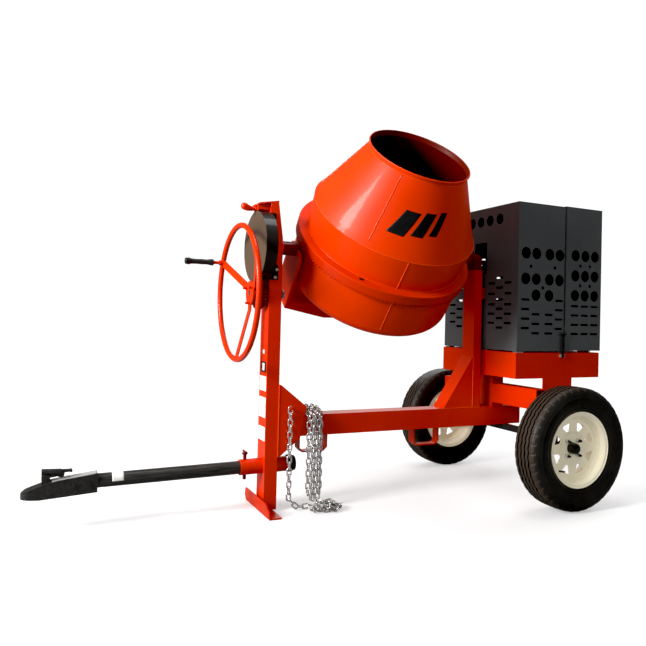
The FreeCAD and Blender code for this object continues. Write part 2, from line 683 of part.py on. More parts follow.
def coupler_body():
    outer = prism_y(coupler_outline(0), -COUPLER_HALF, COUPLER_HALF)
    half = COUPLER_HALF
    nose_x = COUPLER_TIP + half
    ground, above = 0, 2 * COUPLER_DECK
    nose = cyl(V(nose_x, 0, ground), Z_AXIS, half, above)
    outer = outer.common(fused([nose, box(nose_x, COUPLER_BACK + 1, -half, half, ground, above)]))
    w = COUPLER_WALL
    inside = prism_y(coupler_outline(w), -half + w, half - w)
    inside = inside.common(box(BALL_X + 42, COUPLER_BACK + 5, -half, half, ground, above))
    centre = V(BALL_X, 0, BALL_Z)
    dome_r = BALL_R + 9
    dome = Part.makeSphere(dome_r, centre)
    dome = dome.common(box(BALL_X - dome_r, BALL_X + dome_r, -dome_r, dome_r, BALL_Z, above))
    socket = Part.makeSphere(BALL_R + GAP, centre)
    mouth = cyl(V(BALL_X, 0, ground), Z_AXIS, BALL_R + GAP, BALL_Z)
    body = fused([outer.cut(inside), dome]).cut(socket).cut(mouth)
    body = body.cut(cyl(tow_point(TUBE_FRONT - 4), tow_direction(), TUBE_R + 2 * RUN_FIT, 200))
    jaw_x = BALL_X + BALL_R
    body = body.cut(box(jaw_x + 2, jaw_x + 50, -20, 20, ground, BALL_Z + 18))
    px, pz = LEVER_PIVOT_X, LEVER_PIVOT_Z
    body = body.cut(box(px - 14, px + 34, -9, 9, pz - 50, pz + 30))
    ears = []
    for s in (-1, 1):
        y0 = s * EAR_OFFSET - EAR_SHEET / 2
        ears.append(box(px - EAR_R, px + EAR_R, y0, y0 + EAR_SHEET, pz - 30, pz))
        ears.append(cyl(V(px, y0, pz), Y_AXIS, EAR_R, EAR_SHEET))
    for bolt_x in (COUPLER_BACK - 30, COUPLER_BACK - 95):
        foot = tow_point(bolt_x) - V(0, half + BOLT_HEAD, 4)
        body = body.fuse(cyl(foot, Y_AXIS, BOLT_R, BOLT_HEAD))
    body = fused([body] + ears).cut(cyl(V(px, -half, pz), Y_AXIS, LEVER_PIN_R, 2 * half))
    pin_half = EAR_OFFSET + EAR_SHEET / 2 + 3
    add("coupler_body", body, cyl(V(px, -pin_half, pz), Y_AXIS, LEVER_PIN_R, 2 * pin_half))


def coupler_lever():
    """Latch lever over the ball socket: a folded plate with a thumb bar."""
    px, pz = LEVER_PIVOT_X, LEVER_PIVOT_Z
    front, back = px - 17, px + 98
    outline = [(front, pz - 12), (px + 14, pz - 16), (px + 16, pz - 2), (px + 44, pz + 2), (px + 62, pz - 6),
               (px + 70, pz + 2), (px + 72, pz + 16), (back, pz + 18), (back, pz + 27), (front, pz + 31)]
    half = LEVER_SHEET / 2
    plate = prism_y(outline, -half, half)
    wing_outline = [(front, pz + 20), (px + 60, pz + 18), (px + 60, pz + 27), (front, pz + 31)]
    wing_half = 22
    wings = prism_y(wing_outline, -wing_half, wing_half)
    bar = cyl(V(back - 2, -14, pz + 22), Y_AXIS, 6, 28)
    bore = cyl(V(px, -COUPLER_HALF, pz), Y_AXIS, LEVER_PIN_R + RUN_FIT, 2 * COUPLER_HALF)
    lever = fused([plate, wings, bar]).cut(bore)
    add("coupler_lever", lever)


def coupler_clamp():
    """Clamp that grips the ball from behind, with its spring-loaded stem."""
    jaw_x = BALL_X + BALL_R + 4
    stem_x = jaw_x + 12
    stem_z = BALL_Z + 8
    jaw = box(jaw_x, stem_x, -18, 18, BALL_Z - 10, BALL_Z + 14)
    stem = cyl(V(stem_x, 0, stem_z), X_AXIS, LEVER_PIN_R, 40)
    coil = pipe(V(stem_x + 2, 0, stem_z), X_AXIS, COIL_R, COIL_R - 3, 30)
    add("coupler_clamp", fused([jaw, stem]), coil)


# ---------------------------------------------------------------- tilt gear at the front post
def front_bearings():
    start = -POST_X / 2 - BEARING_PROUD
    length = POST_X + 2 * BEARING_PROUD
    top = pipe(V(start, 0, TILT_Z), X_AXIS, FRONT_BEARING_R, TRUNNION_R + RUN_FIT, length)
    low = pipe(V(start, 0, WHEEL_Z), X_AXIS, HAND_BEARING_R, HAND_SHAFT_R + RUN_FIT, length)
    add("front_bearings", top, low)


def gear_guard():
    """Closed round pan over the dump gear, bolted to the post by a plate on each side."""
    s = GUARD_SHEET
    pan = cyl(V(GUARD_FRONT, 0, GUARD_Z), X_AXIS, GUARD_R, GUARD_BACK - GUARD_FRONT)
    pan = pan.cut(cyl(V(GUARD_FRONT + s, 0, GUARD_Z), X_AXIS, GUARD_R - s, GUARD_BACK - GUARD_FRONT - 2 * s))
    bearing_hole = cyl(V(GUARD_BACK - s - 1, 0, TILT_Z), X_AXIS, FRONT_BEARING_R + GAP, s + 2)
    low = GUARD_Z - GUARD_R
    notch = PINION_NOTCH_HALF
    pinion_notch = box(GUARD_FRONT + s, GUARD_BACK + 1, -notch, notch, low - 1, low + 39)
    pawl_notch = box(-82, -48, -14, 14, GUARD_Z + GUARD_R - 20, GUARD_Z + GUARD_R + 1)
    pan = pan.cut(bearing_hole).cut(pinion_notch).cut(pawl_notch)
    back = GUARD_BACK - s
    outline = [(back, SIDE_PLATE_LOW), (10, SIDE_PLATE_LOW), (10, SIDE_PLATE_LOW + 65),
               (-6, SIDE_PLATE_LOW + 80), (-6, GUARD_Z + GUARD_R - 10), (back, GUARD_Z + GUARD_R - 10)]
    plate = prism_y(outline, POST_Y / 2, POST_Y / 2 + SHEET)
    add("gear_guard", fused([pan, plate, mirrored_y(plate)]))


def dump_gear():
    gear = spur_gear_x(DUMP_TEETH, GEAR_FRONT, GEAR_BACK, TRUNNION_R, REST_GEAR_TURN)
    hole = cyl(V(GEAR_FRONT - 1, 0, 95), X_AXIS, 30, 40)
    for k in range(6):
        gear = gear.cut(turned_copy(hole, V(0, 0, 0), X_AXIS, 60 * k))
    hub = pipe(V(GEAR_FRONT - 7, 0, 0), X_AXIS, 42, TRUNNION_R, GEAR_BACK - GEAR_FRONT + 9)
    gear = fused([gear, hub])
    gear.translate(V(0, 0, TILT_Z))
    add("dump_gear", gear)


def front_trunnion():
    """Stub shaft that carries the dump gear, with a thick sleeve between the post and the yoke."""
    start = GEAR_FRONT - 9
    end = DRUM_X - YOKE_IN
    stub = cyl(V(start, 0, TILT_Z), X_AXIS, TRUNNION_R, end - start)
    sleeve_x = POST_X / 2 + BEARING_PROUD + 2
    sleeve = pipe(V(sleeve_x, 0, TILT_Z), X_AXIS, TRUNNION_SLEEVE_R, TRUNNION_R, end - YOKE_PLATE - sleeve_x)
    add("front_trunnion", fused([stub, sleeve]))


def dump_pinion():
    pinion = spur_gear_x(WHEEL_TEETH, GEAR_FRONT - 5, GEAR_BACK + 5, HAND_SHAFT_R, 0.0)
    pinion.translate(V(0, 0, WHEEL_Z))
    add("dump_pinion", pinion)


def handwheel_shaft():
    shaft = cyl(V(HUB_X - 4, 0, WHEEL_Z), X_AXIS, HAND_SHAFT_R, 60 - HUB_X)
    nut = cyl(V(50, 0, WHEEL_Z), X_AXIS, 22, 10)
    add("handwheel_shaft", fused([shaft, nut]))


def handwheel():
    """Dished wheel: a tube rim, three flat spokes bolted to the hub and a crank rod for the grip."""
    centre = V(HANDWHEEL_X, 0, WHEEL_Z)
    rim = Part.makeTorus(HANDWHEEL_R, HANDWHEEL_TUBE_R, centre, X_AXIS)
    hub_front, hub_back = HUB_X - 5, HUB_X + 5
    hub = cyl(V(hub_front, 0, WHEEL_Z), X_AXIS, HUB_R, hub_back - hub_front)
    low, high = 20, HANDWHEEL_R - 4
    half = SPOKE_SHEET / 2
    outline = [(hub_front, low), (hub_front, SPOKE_FOOT), (HANDWHEEL_X - half, high),
               (HANDWHEEL_X + half, high), (hub_front + SPOKE_SHEET, SPOKE_FOOT),
               (hub_front + SPOKE_SHEET, low)]
    bar = prism_y(outline, -SPOKE_HALF, SPOKE_HALF)
    bar.translate(V(0, 0, WHEEL_Z))
    boss_length = GEAR_FRONT - 5 - GAP - hub_back
    pieces = [hub, pipe(V(hub_back, 0, WHEEL_Z), X_AXIS, 24, HAND_SHAFT_R, boss_length)]
    bolt = cyl(V(HUB_X - 24, 0, WHEEL_Z + 48), X_AXIS, SPOKE_BOLT_R, 26)
    for k in range(3):
        angle = 180 + 120 * k
        pieces.append(turned_copy(bar, centre, X_AXIS, angle))
        pieces.append(turned_copy(bolt, centre, X_AXIS, angle))
    spokes = fused(pieces).cut(cyl(V(HUB_X - 40, 0, WHEEL_Z), X_AXIS, HAND_SHAFT_R, 80)).cut(rim)
    rod_y, rod_z = crank_point()
    boss = cyl(V(HANDWHEEL_X - 20, rod_y, rod_z), X_AXIS, ROD_R + 5, 10)
    rod = cyl(V(GRIP_FRONT - 4, rod_y, rod_z), X_AXIS, ROD_R, HANDWHEEL_X - GRIP_FRONT + 4)
    stop = cyl(V(GRIP_FRONT - 8, rod_y, rod_z), X_AXIS, ROD_R + 4, 5)
    collar = cyl(V(GRIP_BACK + 1, rod_y, rod_z), X_AXIS, ROD_R + 3, 5)
    crank = fused([rod, boss, stop, collar]).cut(rim)
    add("handwheel_rim", rim)
    add("handwheel_spokes", fused([spokes, crank]))


def crank_point():
    angle = math.radians(CRANK_ANGLE)
    return HANDWHEEL_R * math.cos(angle), WHEEL_Z + HANDWHEEL_R * math.sin(angle)


def crank_grip():
    """Hollow moulded grip, waisted in the middle and flared at both ends."""
    y, z = crank_point()
    length = GRIP_BACK - GRIP_FRONT
    bore = ROD_R + RUN_FIT
    profile = [(bore, 0), (GRIP_FRONT_R, 0), (GRIP_FRONT_R, 6), (GRIP_R + 1, 18), (GRIP_R, length * 0.35),
               (GRIP_R + 1, length * 0.55), (GRIP_R, length * 0.75), (GRIP_BACK_R - 1, length - 12),
               (GRIP_BACK_R, length - 6), (GRIP_BACK_R, length), (bore, length)]
    add("crank_grip", turned(profile, V(GRIP_FRONT, y, z), X_AXIS))


def tilt_lock_lever():
    """Lever on the post cap with a pawl over the dump gear and a fat moulded handle in front of the guard."""
    px, pz = LOCK_PIVOT_X, LOCK_PIVOT_Z
    tip = px - 52
    half = LOCK_BAR_HALF
    bar = prism_y([(px + 11, pz - 9), (px + 11, pz + 9), (px - 41, pz - 2), (tip, pz - 5), (tip, pz - 22),
                   (px - 39, pz - 20), (px - 4, pz - 11)], -half, half)
    pawl_low = TILT_Z + DUMP_MODULE * (DUMP_TEETH / 2 + 1) + 1.5
    pawl = prism_y([(px - 29, pawl_low), (px - 15, pawl_low), (px - 11, pz - 10), (px - 33, pz - 14)], -5, 5)
    handle = []
    for (x0, drop0, r0), (x1, drop1, r1) in zip(LOCK_HANDLE, LOCK_HANDLE[1:]):
        run = V(x1 - x0, 0, drop0 - drop1)
        handle.append(Part.makeCone(r0, r1, run.Length, V(x0, 0, pz - drop0), run))
        handle.append(Part.makeSphere(r1, V(x1, 0, pz - drop1)))
    bore = cyl(V(px, -POST_Y, pz), Y_AXIS, LOCK_PIN_R + RUN_FIT, 2 * POST_Y)
    lever = fused([bar, pawl] + handle).cut(bore)
    add("tilt_lock_lever", lever)


# ---------------------------------------------------------------- yoke
def yoke_frame():
    """U-shaped frame: two end plates and a tapered channel that passes under the drum."""
    out = YOKE_IN + YOKE_PLATE
    chamfer = 30
    plate_outline = [(-YOKE_HALF, YOKE_END_LOW), (YOKE_HALF, YOKE_END_LOW), (YOKE_HALF, YOKE_TOP - chamfer),
                     (YOKE_HALF - chamfer, YOKE_TOP), (-YOKE_HALF + chamfer, YOKE_TOP),
                     (-YOKE_HALF, YOKE_TOP - chamfer)]
    end_plate = prism_x(plate_outline, -out, -YOKE_IN)
    side = [(-out, YOKE_BEAM_TOP), (-out, YOKE_END_LOW), (-YOKE_MID_HALF, YOKE_MID_LOW),
            (YOKE_MID_HALF, YOKE_MID_LOW), (out, YOKE_END_LOW), (out, YOKE_BEAM_TOP)]
    beam = prism_y(side, -YOKE_HALF, YOKE_HALF)
    inside = YOKE_HALF - YOKE_SHEET
    hollow = box(-YOKE_IN, YOKE_IN, -inside, inside, YOKE_MID_LOW - 10, YOKE_BEAM_TOP - YOKE_SHEET)
    boss_low = YOKE_MID_LOW - 14
    boss = cyl(V(0, 0, boss_low), Z_AXIS, SPINDLE_BOSS_R, YOKE_BEAM_TOP + YOKE_SHEET - boss_low)
    frame = fused([beam.cut(hollow), end_plate, end_plate.mirror(V(0, 0, 0), X_AXIS), boss])
    bore_length = YOKE_BEAM_TOP + YOKE_SHEET + 2 - boss_low
    frame = frame.cut(cyl(V(0, 0, boss_low - 1), Z_AXIS, SPINDLE_R, bore_length))
    frame = frame.cut(cyl(V(-out - 1, 0, 0), X_AXIS, TRUNNION_R, YOKE_PLATE + 2))
    frame = frame.cut(cyl(V(YOKE_IN - 1, 0, 0), X_AXIS, TRUNNION_R, YOKE_PLATE + 2))
    add("yoke_frame", on_drum(frame))


def rear_trunnion():
    start = DRUM_X + YOKE_IN
    end = PED_BACK + 12
    tube = pipe(V(start, 0, TILT_Z), X_AXIS, TRUNNION_R, PINION_SHAFT_R + RUN_FIT, end - start)
    collar = pipe(V(start + YOKE_PLATE, 0, TILT_Z), X_AXIS, TRUNNION_SLEEVE_R, TRUNNION_R, 14)
    add("rear_trunnion", fused([tube, collar]))


def drum_spindle():
    low = YOKE_MID_LOW - 34
    bar = cyl(V(0, 0, low), Z_AXIS, SPINDLE_R, BOWL_FLOOR_S + 70 - low)
    nut = cyl(V(0, 0, low), Z_AXIS, SPINDLE_R + 16, 20)
    add("drum_spindle", on_drum(fused([bar, nut])))


# ---------------------------------------------------------------- drum
def drum_cone():
    wall = [(SHOULDER_R, SHOULDER_S), (CONE_FOOT_R, CONE_FOOT_S), (COLLAR_R, COLLAR_S),
            (MOUTH_R, MOUTH_S - 4)]
    shell = turned(thick_line(wall[::-1], SHEET))
    shell = shell.common(cyl(V(0, 0, SHOULDER_S), Z_AXIS, 600, MOUTH_S - SHOULDER_S))
    bead = Part.makeTorus(MOUTH_R - 1, 4.5, V(0, 0, MOUTH_S - 4), Z_AXIS)
    add("drum_cone", on_drum(fused([shell, bead])))


def drum_belly():
    """Barrel that flares to the shoulder, with a wide flange over the ring gear."""
    wall = [(SHOULDER_R, SHOULDER_S), (BELLY_R, FLANGE_S)]
    shell = turned(thick_line(wall, SHEET))
    shell = shell.common(cyl(V(0, 0, FLANGE_S), Z_AXIS, 600, SHOULDER_S - FLANGE_S))
    flange = pipe(V(0, 0, FLANGE_S), Z_AXIS, FLANGE_R, BELLY_R - SHEET, SHEET)
    add("drum_belly", on_drum(fused([shell, flange])))


def drum_bowl():
    corner = BOWL_CORNER_R
    edge_s = BOWL_CORNER_S + 8
    wall = [(BOWL_R, FLANGE_S - SHEET), (BOWL_R, edge_s)]
    for step in range(1, 8):
        angle = math.radians(90 * step / 8)
        wall.append((BOWL_R - corner + corner * math.cos(angle), edge_s - corner * math.sin(angle)))
    wall += [(BOWL_R - corner - 12, edge_s - corner), (150, BOWL_FLOOR_S - 2), (62, BOWL_FLOOR_S - 2)]
    shell = turned(thick_line(wall, SHEET))
    flange = pipe(V(0, 0, FLANGE_S - SHEET), Z_AXIS, FLANGE_R, BOWL_R - SHEET, SHEET)
    add("drum_bowl", on_drum(fused([shell, flange])))


def drum_cavity():
    """Space inside the drum sheet, used to trim the paddles to the walls."""
    r = GAP + SHEET + 1
    low = BOWL_FLOOR_S + r
    ledge = FLANGE_S - SHEET - r
    belly = BELLY_R - r
    bowl = BOWL_R - r
    floor_r = bowl - BOWL_CORNER_R - 7
    outline = [(0, low), (floor_r, low), (bowl, BOWL_CORNER_S + 20), (bowl, ledge), (belly, ledge),
               (belly, SHOULDER_S), (CONE_FOOT_R - 2 * r, CONE_FOOT_S), (COLLAR_R - 2 * r, COLLAR_S - r),
               (0, COLLAR_S - r)]
    return turned(outline)


def mixing_paddles():
    cavity = drum_cavity()
    paddles = []
    inner = RING_OUT + 2 - PADDLE_LENGTH
    half = PADDLE_SHEET / 2
    for k in range(3):
        blade = box(inner, inner + PADDLE_LENGTH, -half, half, -170, 330)
        blade.rotate(V(inner, 0, 0), X_AXIS, PADDLE_LEAN)
        blade = blade.common(cavity)
        paddles.append(turned_copy(blade, V(0, 0, 0), Z_AXIS, 120 * k + 40))
    add("mixing_paddles", *[on_drum(p) for p in paddles])


def drum_hub():
    """Bearing hub in the middle of the bowl floor, running on the fixed spindle."""
    low = YOKE_BEAM_TOP + 8
    top = BOWL_FLOOR_S + 62
    r = HUB_BARREL_R
    rim_height = 10
    body = pipe(V(0, 0, low), Z_AXIS, r, SPINDLE_R + RUN_FIT, top - low)
    flange = pipe(V(0, 0, BOWL_FLOOR_S + 2), Z_AXIS, HUB_FLANGE_R, r - 2, 10)
    lid = cyl(V(0, 0, top + rim_height), Z_AXIS, r, 6)
    rim = pipe(V(0, 0, top), Z_AXIS, r, r - 20, rim_height)
    add("drum_hub", on_drum(fused([body, flange, rim, lid])))


# ---------------------------------------------------------------- engine end
def through_y(x, z, radius):
    return cyl(V(x, -HOUSE_HALF - 20, z), Y_AXIS, radius, 2 * HOUSE_HALF + 40)


def slot_y(x, z):
    half = HOUSE_HALF + 20
    return box(x - SLOT_HALF, x + SLOT_HALF, -half, half, z - SLOT_HEIGHT / 2, z + SLOT_HEIGHT / 2)


def side_vents():
    cuts = [through_y(x, z, VENT_R) for x in SIDE_COLUMNS for z in SIDE_VENT_ROWS]
    cuts += [through_y(x, SIDE_LOW_VENT_Z, VENT_R) for x in SIDE_COLUMNS[1:3]]
    cuts += [through_y(x, z, DOT_R) for x, z in SIDE_DOTS]
    for column, x in enumerate(SIDE_COLUMNS):
        rows = OUTER_SLOT_ROWS if column in (0, 3) else INNER_SLOT_ROWS
        cuts += [slot_y(x, z) for z in rows]
    return cuts


def cover_vents():
    cuts = []
    for x in COVER_COLUMNS:
        cuts += [through_y(x, z, VENT_R) for z in COVER_VENT_ROWS]
        cuts += [slot_y(x, z) for z in COVER_SLOT_ROWS]
    between = [(a + b) / 2 for a, b in zip(COVER_COLUMNS, COVER_COLUMNS[1:])]
    heights = [(a + b) / 2 for a, b in zip(COVER_VENT_ROWS, COVER_VENT_ROWS[1:])]
    return cuts + [through_y(x, z, DOT_R) for x in between for z in heights]


def front_vents():
    x0, x1 = HOUSE_X0 - 20, HOUSE_X0 + 20
    cuts = [cyl(V(x0, y, FRONT_VENT_Z), X_AXIS, FRONT_VENT_R, x1 - x0) for y in FRONT_VENT_COLUMNS]
    cuts.append(box(x0, x1, -SHAFT_WINDOW_RIGHT, SHAFT_WINDOW_LEFT, TILT_Z - 65, TILT_Z + 107))
    rise = SLOT_HEIGHT / 2
    for y, rows in FRONT_SLOTS:
        for middle in (-y, y):
            cuts += [box(x0, x1, middle - SLOT_HALF, middle + SLOT_HALF, z - rise, z + rise) for z in rows]
    return cuts


def sheet_box(x0, x1, half, z0, z1, sheet, open_low_x):
    """Sheet shell open underneath and at one end."""
    outer = box(x0, x1, -half, half, z0, z1)
    a = x0 - 1 if open_low_x else x0 + sheet
    b = x1 - sheet if open_low_x else x1 + 1
    return outer.cut(box(a, b, -half + sheet, half - sheet, z0 - 1, z1 - sheet))


def engine_housing():
    shell = sheet_box(HOUSE_X0, HOUSE_SPLIT, HOUSE_HALF, HOUSE_Z0, HOUSE_Z1, HOUSE_SHEET, False)
    add("engine_housing", shell.cut(side_vents() + front_vents()))


def rear_cover():
    """Rear part of the housing, hinged low down at the back, with two hinge leaves and eyes."""
    half = HOUSE_HALF + COVER_PROUD
    front = HOUSE_SPLIT - COVER_LAP
    shell = sheet_box(front, HOUSE_X1, half, HOUSE_Z0 + 4, HOUSE_Z1 + COVER_PROUD, HOUSE_SHEET, True)
    knuckles = []
    for y in (-HINGE_HALF_SPAN, HINGE_HALF_SPAN):
        leaf = box(HOUSE_X1, HOUSE_X1 + 3, y - 20, y + 20, HINGE_Z, HOUSE_Z0 + 50)
        knuckles += [leaf, cyl(V(HINGE_X, y - 20, HINGE_Z), Y_AXIS, 7, 40)]
    cover = fused([shell.cut(cover_vents())] + knuckles)
    pin_hole = cyl(V(HINGE_X, -HOUSE_HALF, HINGE_Z), Y_AXIS, HINGE_PIN_R + RUN_FIT, 2 * HOUSE_HALF)
    add("rear_cover", cover.cut(pin_hole))


def cover_hinge(y):
    """Fixed half of one hinge: a pin between two ears on the tray."""
    low, back = HINGE_Z - 34, HINGE_X - 6
    outline = [(TRAY_X1, low), (HINGE_X + 2, low), (HINGE_X + HINGE_EYE_R, HINGE_Z), (back, HINGE_Z),
               (back, HINGE_Z - 8), (TRAY_X1, HINGE_Z - 8)]
    reach = 2 * HINGE_EAR
    pieces = [cyl(V(HINGE_X, y - reach, HINGE_Z), Y_AXIS, HINGE_PIN_R, 2 * reach)]
    for start in (y - reach, y + HINGE_EAR):
        pieces.append(prism_y(outline, start, start + HINGE_EAR))
        pieces.append(cyl(V(HINGE_X, start, HINGE_Z), Y_AXIS, HINGE_EYE_R, HINGE_EAR))
    return fused(pieces)


def latch_anchor(side):
    """Pin between two ears on the side of the tray."""
    y0, y1 = sorted((side * TRAY_HALF, side * (TRAY_HALF + 14)))
    reach, ear = 14, 3
    pivot = cyl(V(LATCH_X - reach, side * (TRAY_HALF + LATCH_OUT), LATCH_Z), X_AXIS, 3, 2 * reach)
    starts = (LATCH_X - reach, LATCH_X + reach - ear)
    ears = [box(x, x + ear, y0, y1, LATCH_Z - 8, LATCH_Z + 8) for x in starts]
    return fused([pivot] + ears)


def latch_keeper(side, clearance):
    """Lug on the housing that the latch hooks over, grown by clearance when it is used as a cutter."""
    x0, x1 = LATCH_X - 13 - clearance, LATCH_X + 13 + clearance
    y0, y1 = sorted((side * (HOUSE_HALF - 2 * clearance), side * (HOUSE_HALF + 9 + clearance / 2)))
    return box(x0, x1, y0, y1, KEEPER_Z - 2 - clearance, KEEPER_Z + 2 + clearance)


def housing_fittings():
    """Hinges, rubber mounts under the housing, latch anchors and keepers."""
    fittings = [cover_hinge(y) for y in (-HINGE_HALF_SPAN, HINGE_HALF_SPAN)]
    mount_y = HOUSE_HALF - 21
    for x in (HOUSE_X0 + 27, HOUSE_SPLIT - 28):
        for y in (-mount_y, mount_y):
            fittings.append(box(x - 20, x + 20, y - 18, y + 18, TRAY_Z1, HOUSE_Z0 - 2))
    for side in (-1, 1):
        fittings += [latch_anchor(side), latch_keeper(side, 0)]
    add("housing_fittings", *fittings)


def housing_latches():
    """Rubber draw latches: a strap with a T-shaped pull that hooks over a keeper on the housing."""
    pull_half = 19
    for name, side in (("latch_right", -1), ("latch_left", 1)):
        y = side * (TRAY_HALF + LATCH_OUT)
        strap = box(LATCH_X - LATCH_HALF, LATCH_X + LATCH_HALF, y - 4, y + 4, LATCH_Z, LATCH_TOP)
        eye = cyl(V(LATCH_X - LATCH_HALF - GAP, y, LATCH_Z), X_AXIS, 6.5, 2 * (LATCH_HALF + GAP))
        pull = cyl(V(LATCH_X - pull_half, y + side * 4, LATCH_TOP + 4), X_AXIS, 7, 2 * pull_half)
        bore = cyl(V(LATCH_X - 20, y, LATCH_Z), X_AXIS, 3 + RUN_FIT, 40)
        add(name, fused([strap, eye, pull]).cut(bore).cut(latch_keeper(side, 1)))


def pulley(radius, x, centre_z, bore, hub_r):
    """Pulley with one V groove; a large one has a thin web between its hub and its rim."""
    half = PULLEY_WIDTH / 2
    web = 4.0
    floor_r, lip, floor = radius - 11, BELT_WIDTH / 2 + 1.6, BELT_WIDTH / 2 - 2
    quarter = [(floor_r, floor), (radius, lip), (radius, half)]
    if radius > 2 * hub_r:
        rim_in = radius - 22
        quarter += [(rim_in, half), (rim_in, web), (hub_r, web)]
    quarter += [(hub_r, half), (bore, half)]
    outline = [(r, -h) for r, h in quarter[::-1]] + quarter
    return turned(outline, V(x, 0, centre_z), X_AXIS)


def pinion_shaft_and_pulley():
    start = DRUM_X + RING_IN - 2
    end = BELT_X + PULLEY_WIDTH / 2 + 8
    add("pinion_shaft", cyl(V(start, 0, TILT_Z), X_AXIS, PINION_SHAFT_R, end - start))
    wheel = pulley(BIG_PULLEY_R, BELT_X, TILT_Z, PINION_SHAFT_R, 40)
    lightening = cyl(V(BELT_X - 40, 0, TILT_Z + 108), X_AXIS, 42, 80)
    for k in range(5):
        wheel = wheel.cut(turned_copy(lightening, V(BELT_X, 0, TILT_Z), X_AXIS, 72 * k))
    add("driven_pulley", wheel)


def engine_shaft():
    wheel = pulley(SMALL_PULLEY_R, BELT_X, ENGINE_Z, ENGINE_SHAFT_R, 18)
    shaft = cyl(V(BELT_X - PULLEY_WIDTH / 2 - 4, 0, ENGINE_Z), X_AXIS, ENGINE_SHAFT_R, 92)
    add("engine_pulley", fused([wheel, shaft]))


def drive_belt():
    """V-belt as an open loop around both pulleys, clear of the groove walls."""
    big, small = BIG_PULLEY_R - 1.5, SMALL_PULLEY_R - 1.5
    drop = TILT_Z - ENGINE_Z
    tilt = math.asin((big - small) / drop)
    co, si = math.cos(tilt), math.sin(tilt)

    def loop(r_big, r_small, x0, x1):
        a = V(x0, -r_big * co, TILT_Z - r_big * si)
        b = V(x0, r_big * co, TILT_Z - r_big * si)
        c = V(x0, r_small * co, ENGINE_Z - r_small * si)
        d = V(x0, -r_small * co, ENGINE_Z - r_small * si)
        wire = [Part.Arc(a, V(x0, 0, TILT_Z + r_big), b).toShape(), Part.LineSegment(b, c).toShape(),
                Part.Arc(c, V(x0, 0, ENGINE_Z - r_small), d).toShape(), Part.LineSegment(d, a).toShape()]
        return Part.Face(Part.Wire(wire)).extrude(V(x1 - x0, 0, 0))

    half = BELT_WIDTH / 2 - 2.4
    ring = loop(big, small, BELT_X - half, BELT_X + half)
    hole = loop(big - BELT_DEPTH, small - BELT_DEPTH, BELT_X - half - 1, BELT_X + half + 1)
    add("drive_belt", ring.cut(hole))


def engine_block():
    """Single-cylinder engine: crankcase on two feet, finned barrel lying sideways, fan cowl and starter."""
    x0 = ENGINE_X
    case_end = x0 + 190
    cowl_end = case_end + 60
    foot = 12
    fin, pitch = 5, 14
    crankcase = box(x0, case_end, -120, 120, TRAY_Z1 + foot, ENGINE_Z + 95)
    feet = [box(x0 + 10, case_end - 10, y - 25, y + 25, TRAY_Z1, TRAY_Z1 + foot) for y in (-100, 100)]
    nose = cyl(V(x0 - 20, 0, ENGINE_Z), X_AXIS, 48, 20)
    barrel = box(x0 + 40, x0 + 150, 60, 235, ENGINE_Z + 20, ENGINE_Z + 130)
    fins = [box(x0 + 30, x0 + 160, y, y + fin, ENGINE_Z + 8, ENGINE_Z + 142)
            for y in range(130, 130 + 7 * pitch, pitch)]
    cowl = cyl(V(case_end, 0, ENGINE_Z), X_AXIS, 140, cowl_end - case_end)
    starter = cyl(V(cowl_end, 0, ENGINE_Z), X_AXIS, 90, 26)
    body = fused([crankcase, nose, barrel, cowl, starter] + feet + fins)
    bore = cyl(V(x0 - 30, 0, ENGINE_Z), X_AXIS, ENGINE_SHAFT_R + RUN_FIT, 70)
    add("engine_block", body.cut(bore))


def fuel_and_exhaust():
    x0 = ENGINE_X
    top = ENGINE_Z + 150
    tank = box(x0 + 10, x0 + 200, -130, 110, top, top + 110)
    tank = tank.makeFillet(18, tank.Edges)
    neck = cyl(V(x0 + 70, -40, top + 108), Z_AXIS, 24, 16)
    props = [box(x0 + 20, x0 + 190, y - 6, y + 6, ENGINE_Z + 95, top + 4) for y in (-90, 40)]
    add("fuel_tank", fused([tank, neck] + props))
    can = cyl(V(x0 + 10, 205, ENGINE_Z + 215), X_AXIS, 52, 180)
    pipe_down = cyl(V(x0 + 95, 205, ENGINE_Z + 142), Z_AXIS, 15, 40)
    add("muffler", fused([can, pipe_down]))


# ---------------------------------------------------------------- road wheels
def at_wheel(shape, side):
    """Place a shape turned about Z (outboard is +Z) on the wheel centre of one side."""
    placed = shape.copy()
    placed.rotate(V(0, 0, 0), X_AXIS, -90 if side > 0 else 90)
    placed.translate(V(AXLE_X, side * TRACK_HALF, WHEEL_Z_ROAD))
    return placed


def bead_seat():
    """Outline shared by tyre bead and rim: (radius, distance from the wheel's centre plane)."""
    return [(RIM_FLANGE_R - 1, RIM_HALF - 5), (BEAD_R + 7, RIM_HALF - 6), (BEAD_R, RIM_HALF - 12),
            (BEAD_R - 1, RIM_HALF - 30)]


def tyre_shape():
    r = TYRE_R
    h = TYRE_HALF
    side = [(RIM_FLANGE_R + 9, RIM_HALF - 1), (BEAD_R + 40, h - 8), (r - 63, h), (r - 33, h - 4),
            (r - 13, h - 16), (r - 4, h - 20), (r, h - 26)]
    tread = []
    for g in (36, 12, -12, -36):
        tread += [(r, g + 3.5), (r - GROOVE, g + 2.5), (r - GROOVE, g - 2.5), (r, g - 3.5)]
    cavity = [(BEAD_R + 16, RIM_HALF - 22), (BEAD_R + 44, h - 20), (r - 55, h - 12), (r - 22, h - 28),
              (r - 20, 0)]
    outer = bead_seat()[::-1] + side
    below = [(a, -b) for a, b in outer[::-1]]
    inside = [(a, -b) for a, b in cavity[:-1]] + cavity[::-1]
    return turned(outer + tread + below + inside)


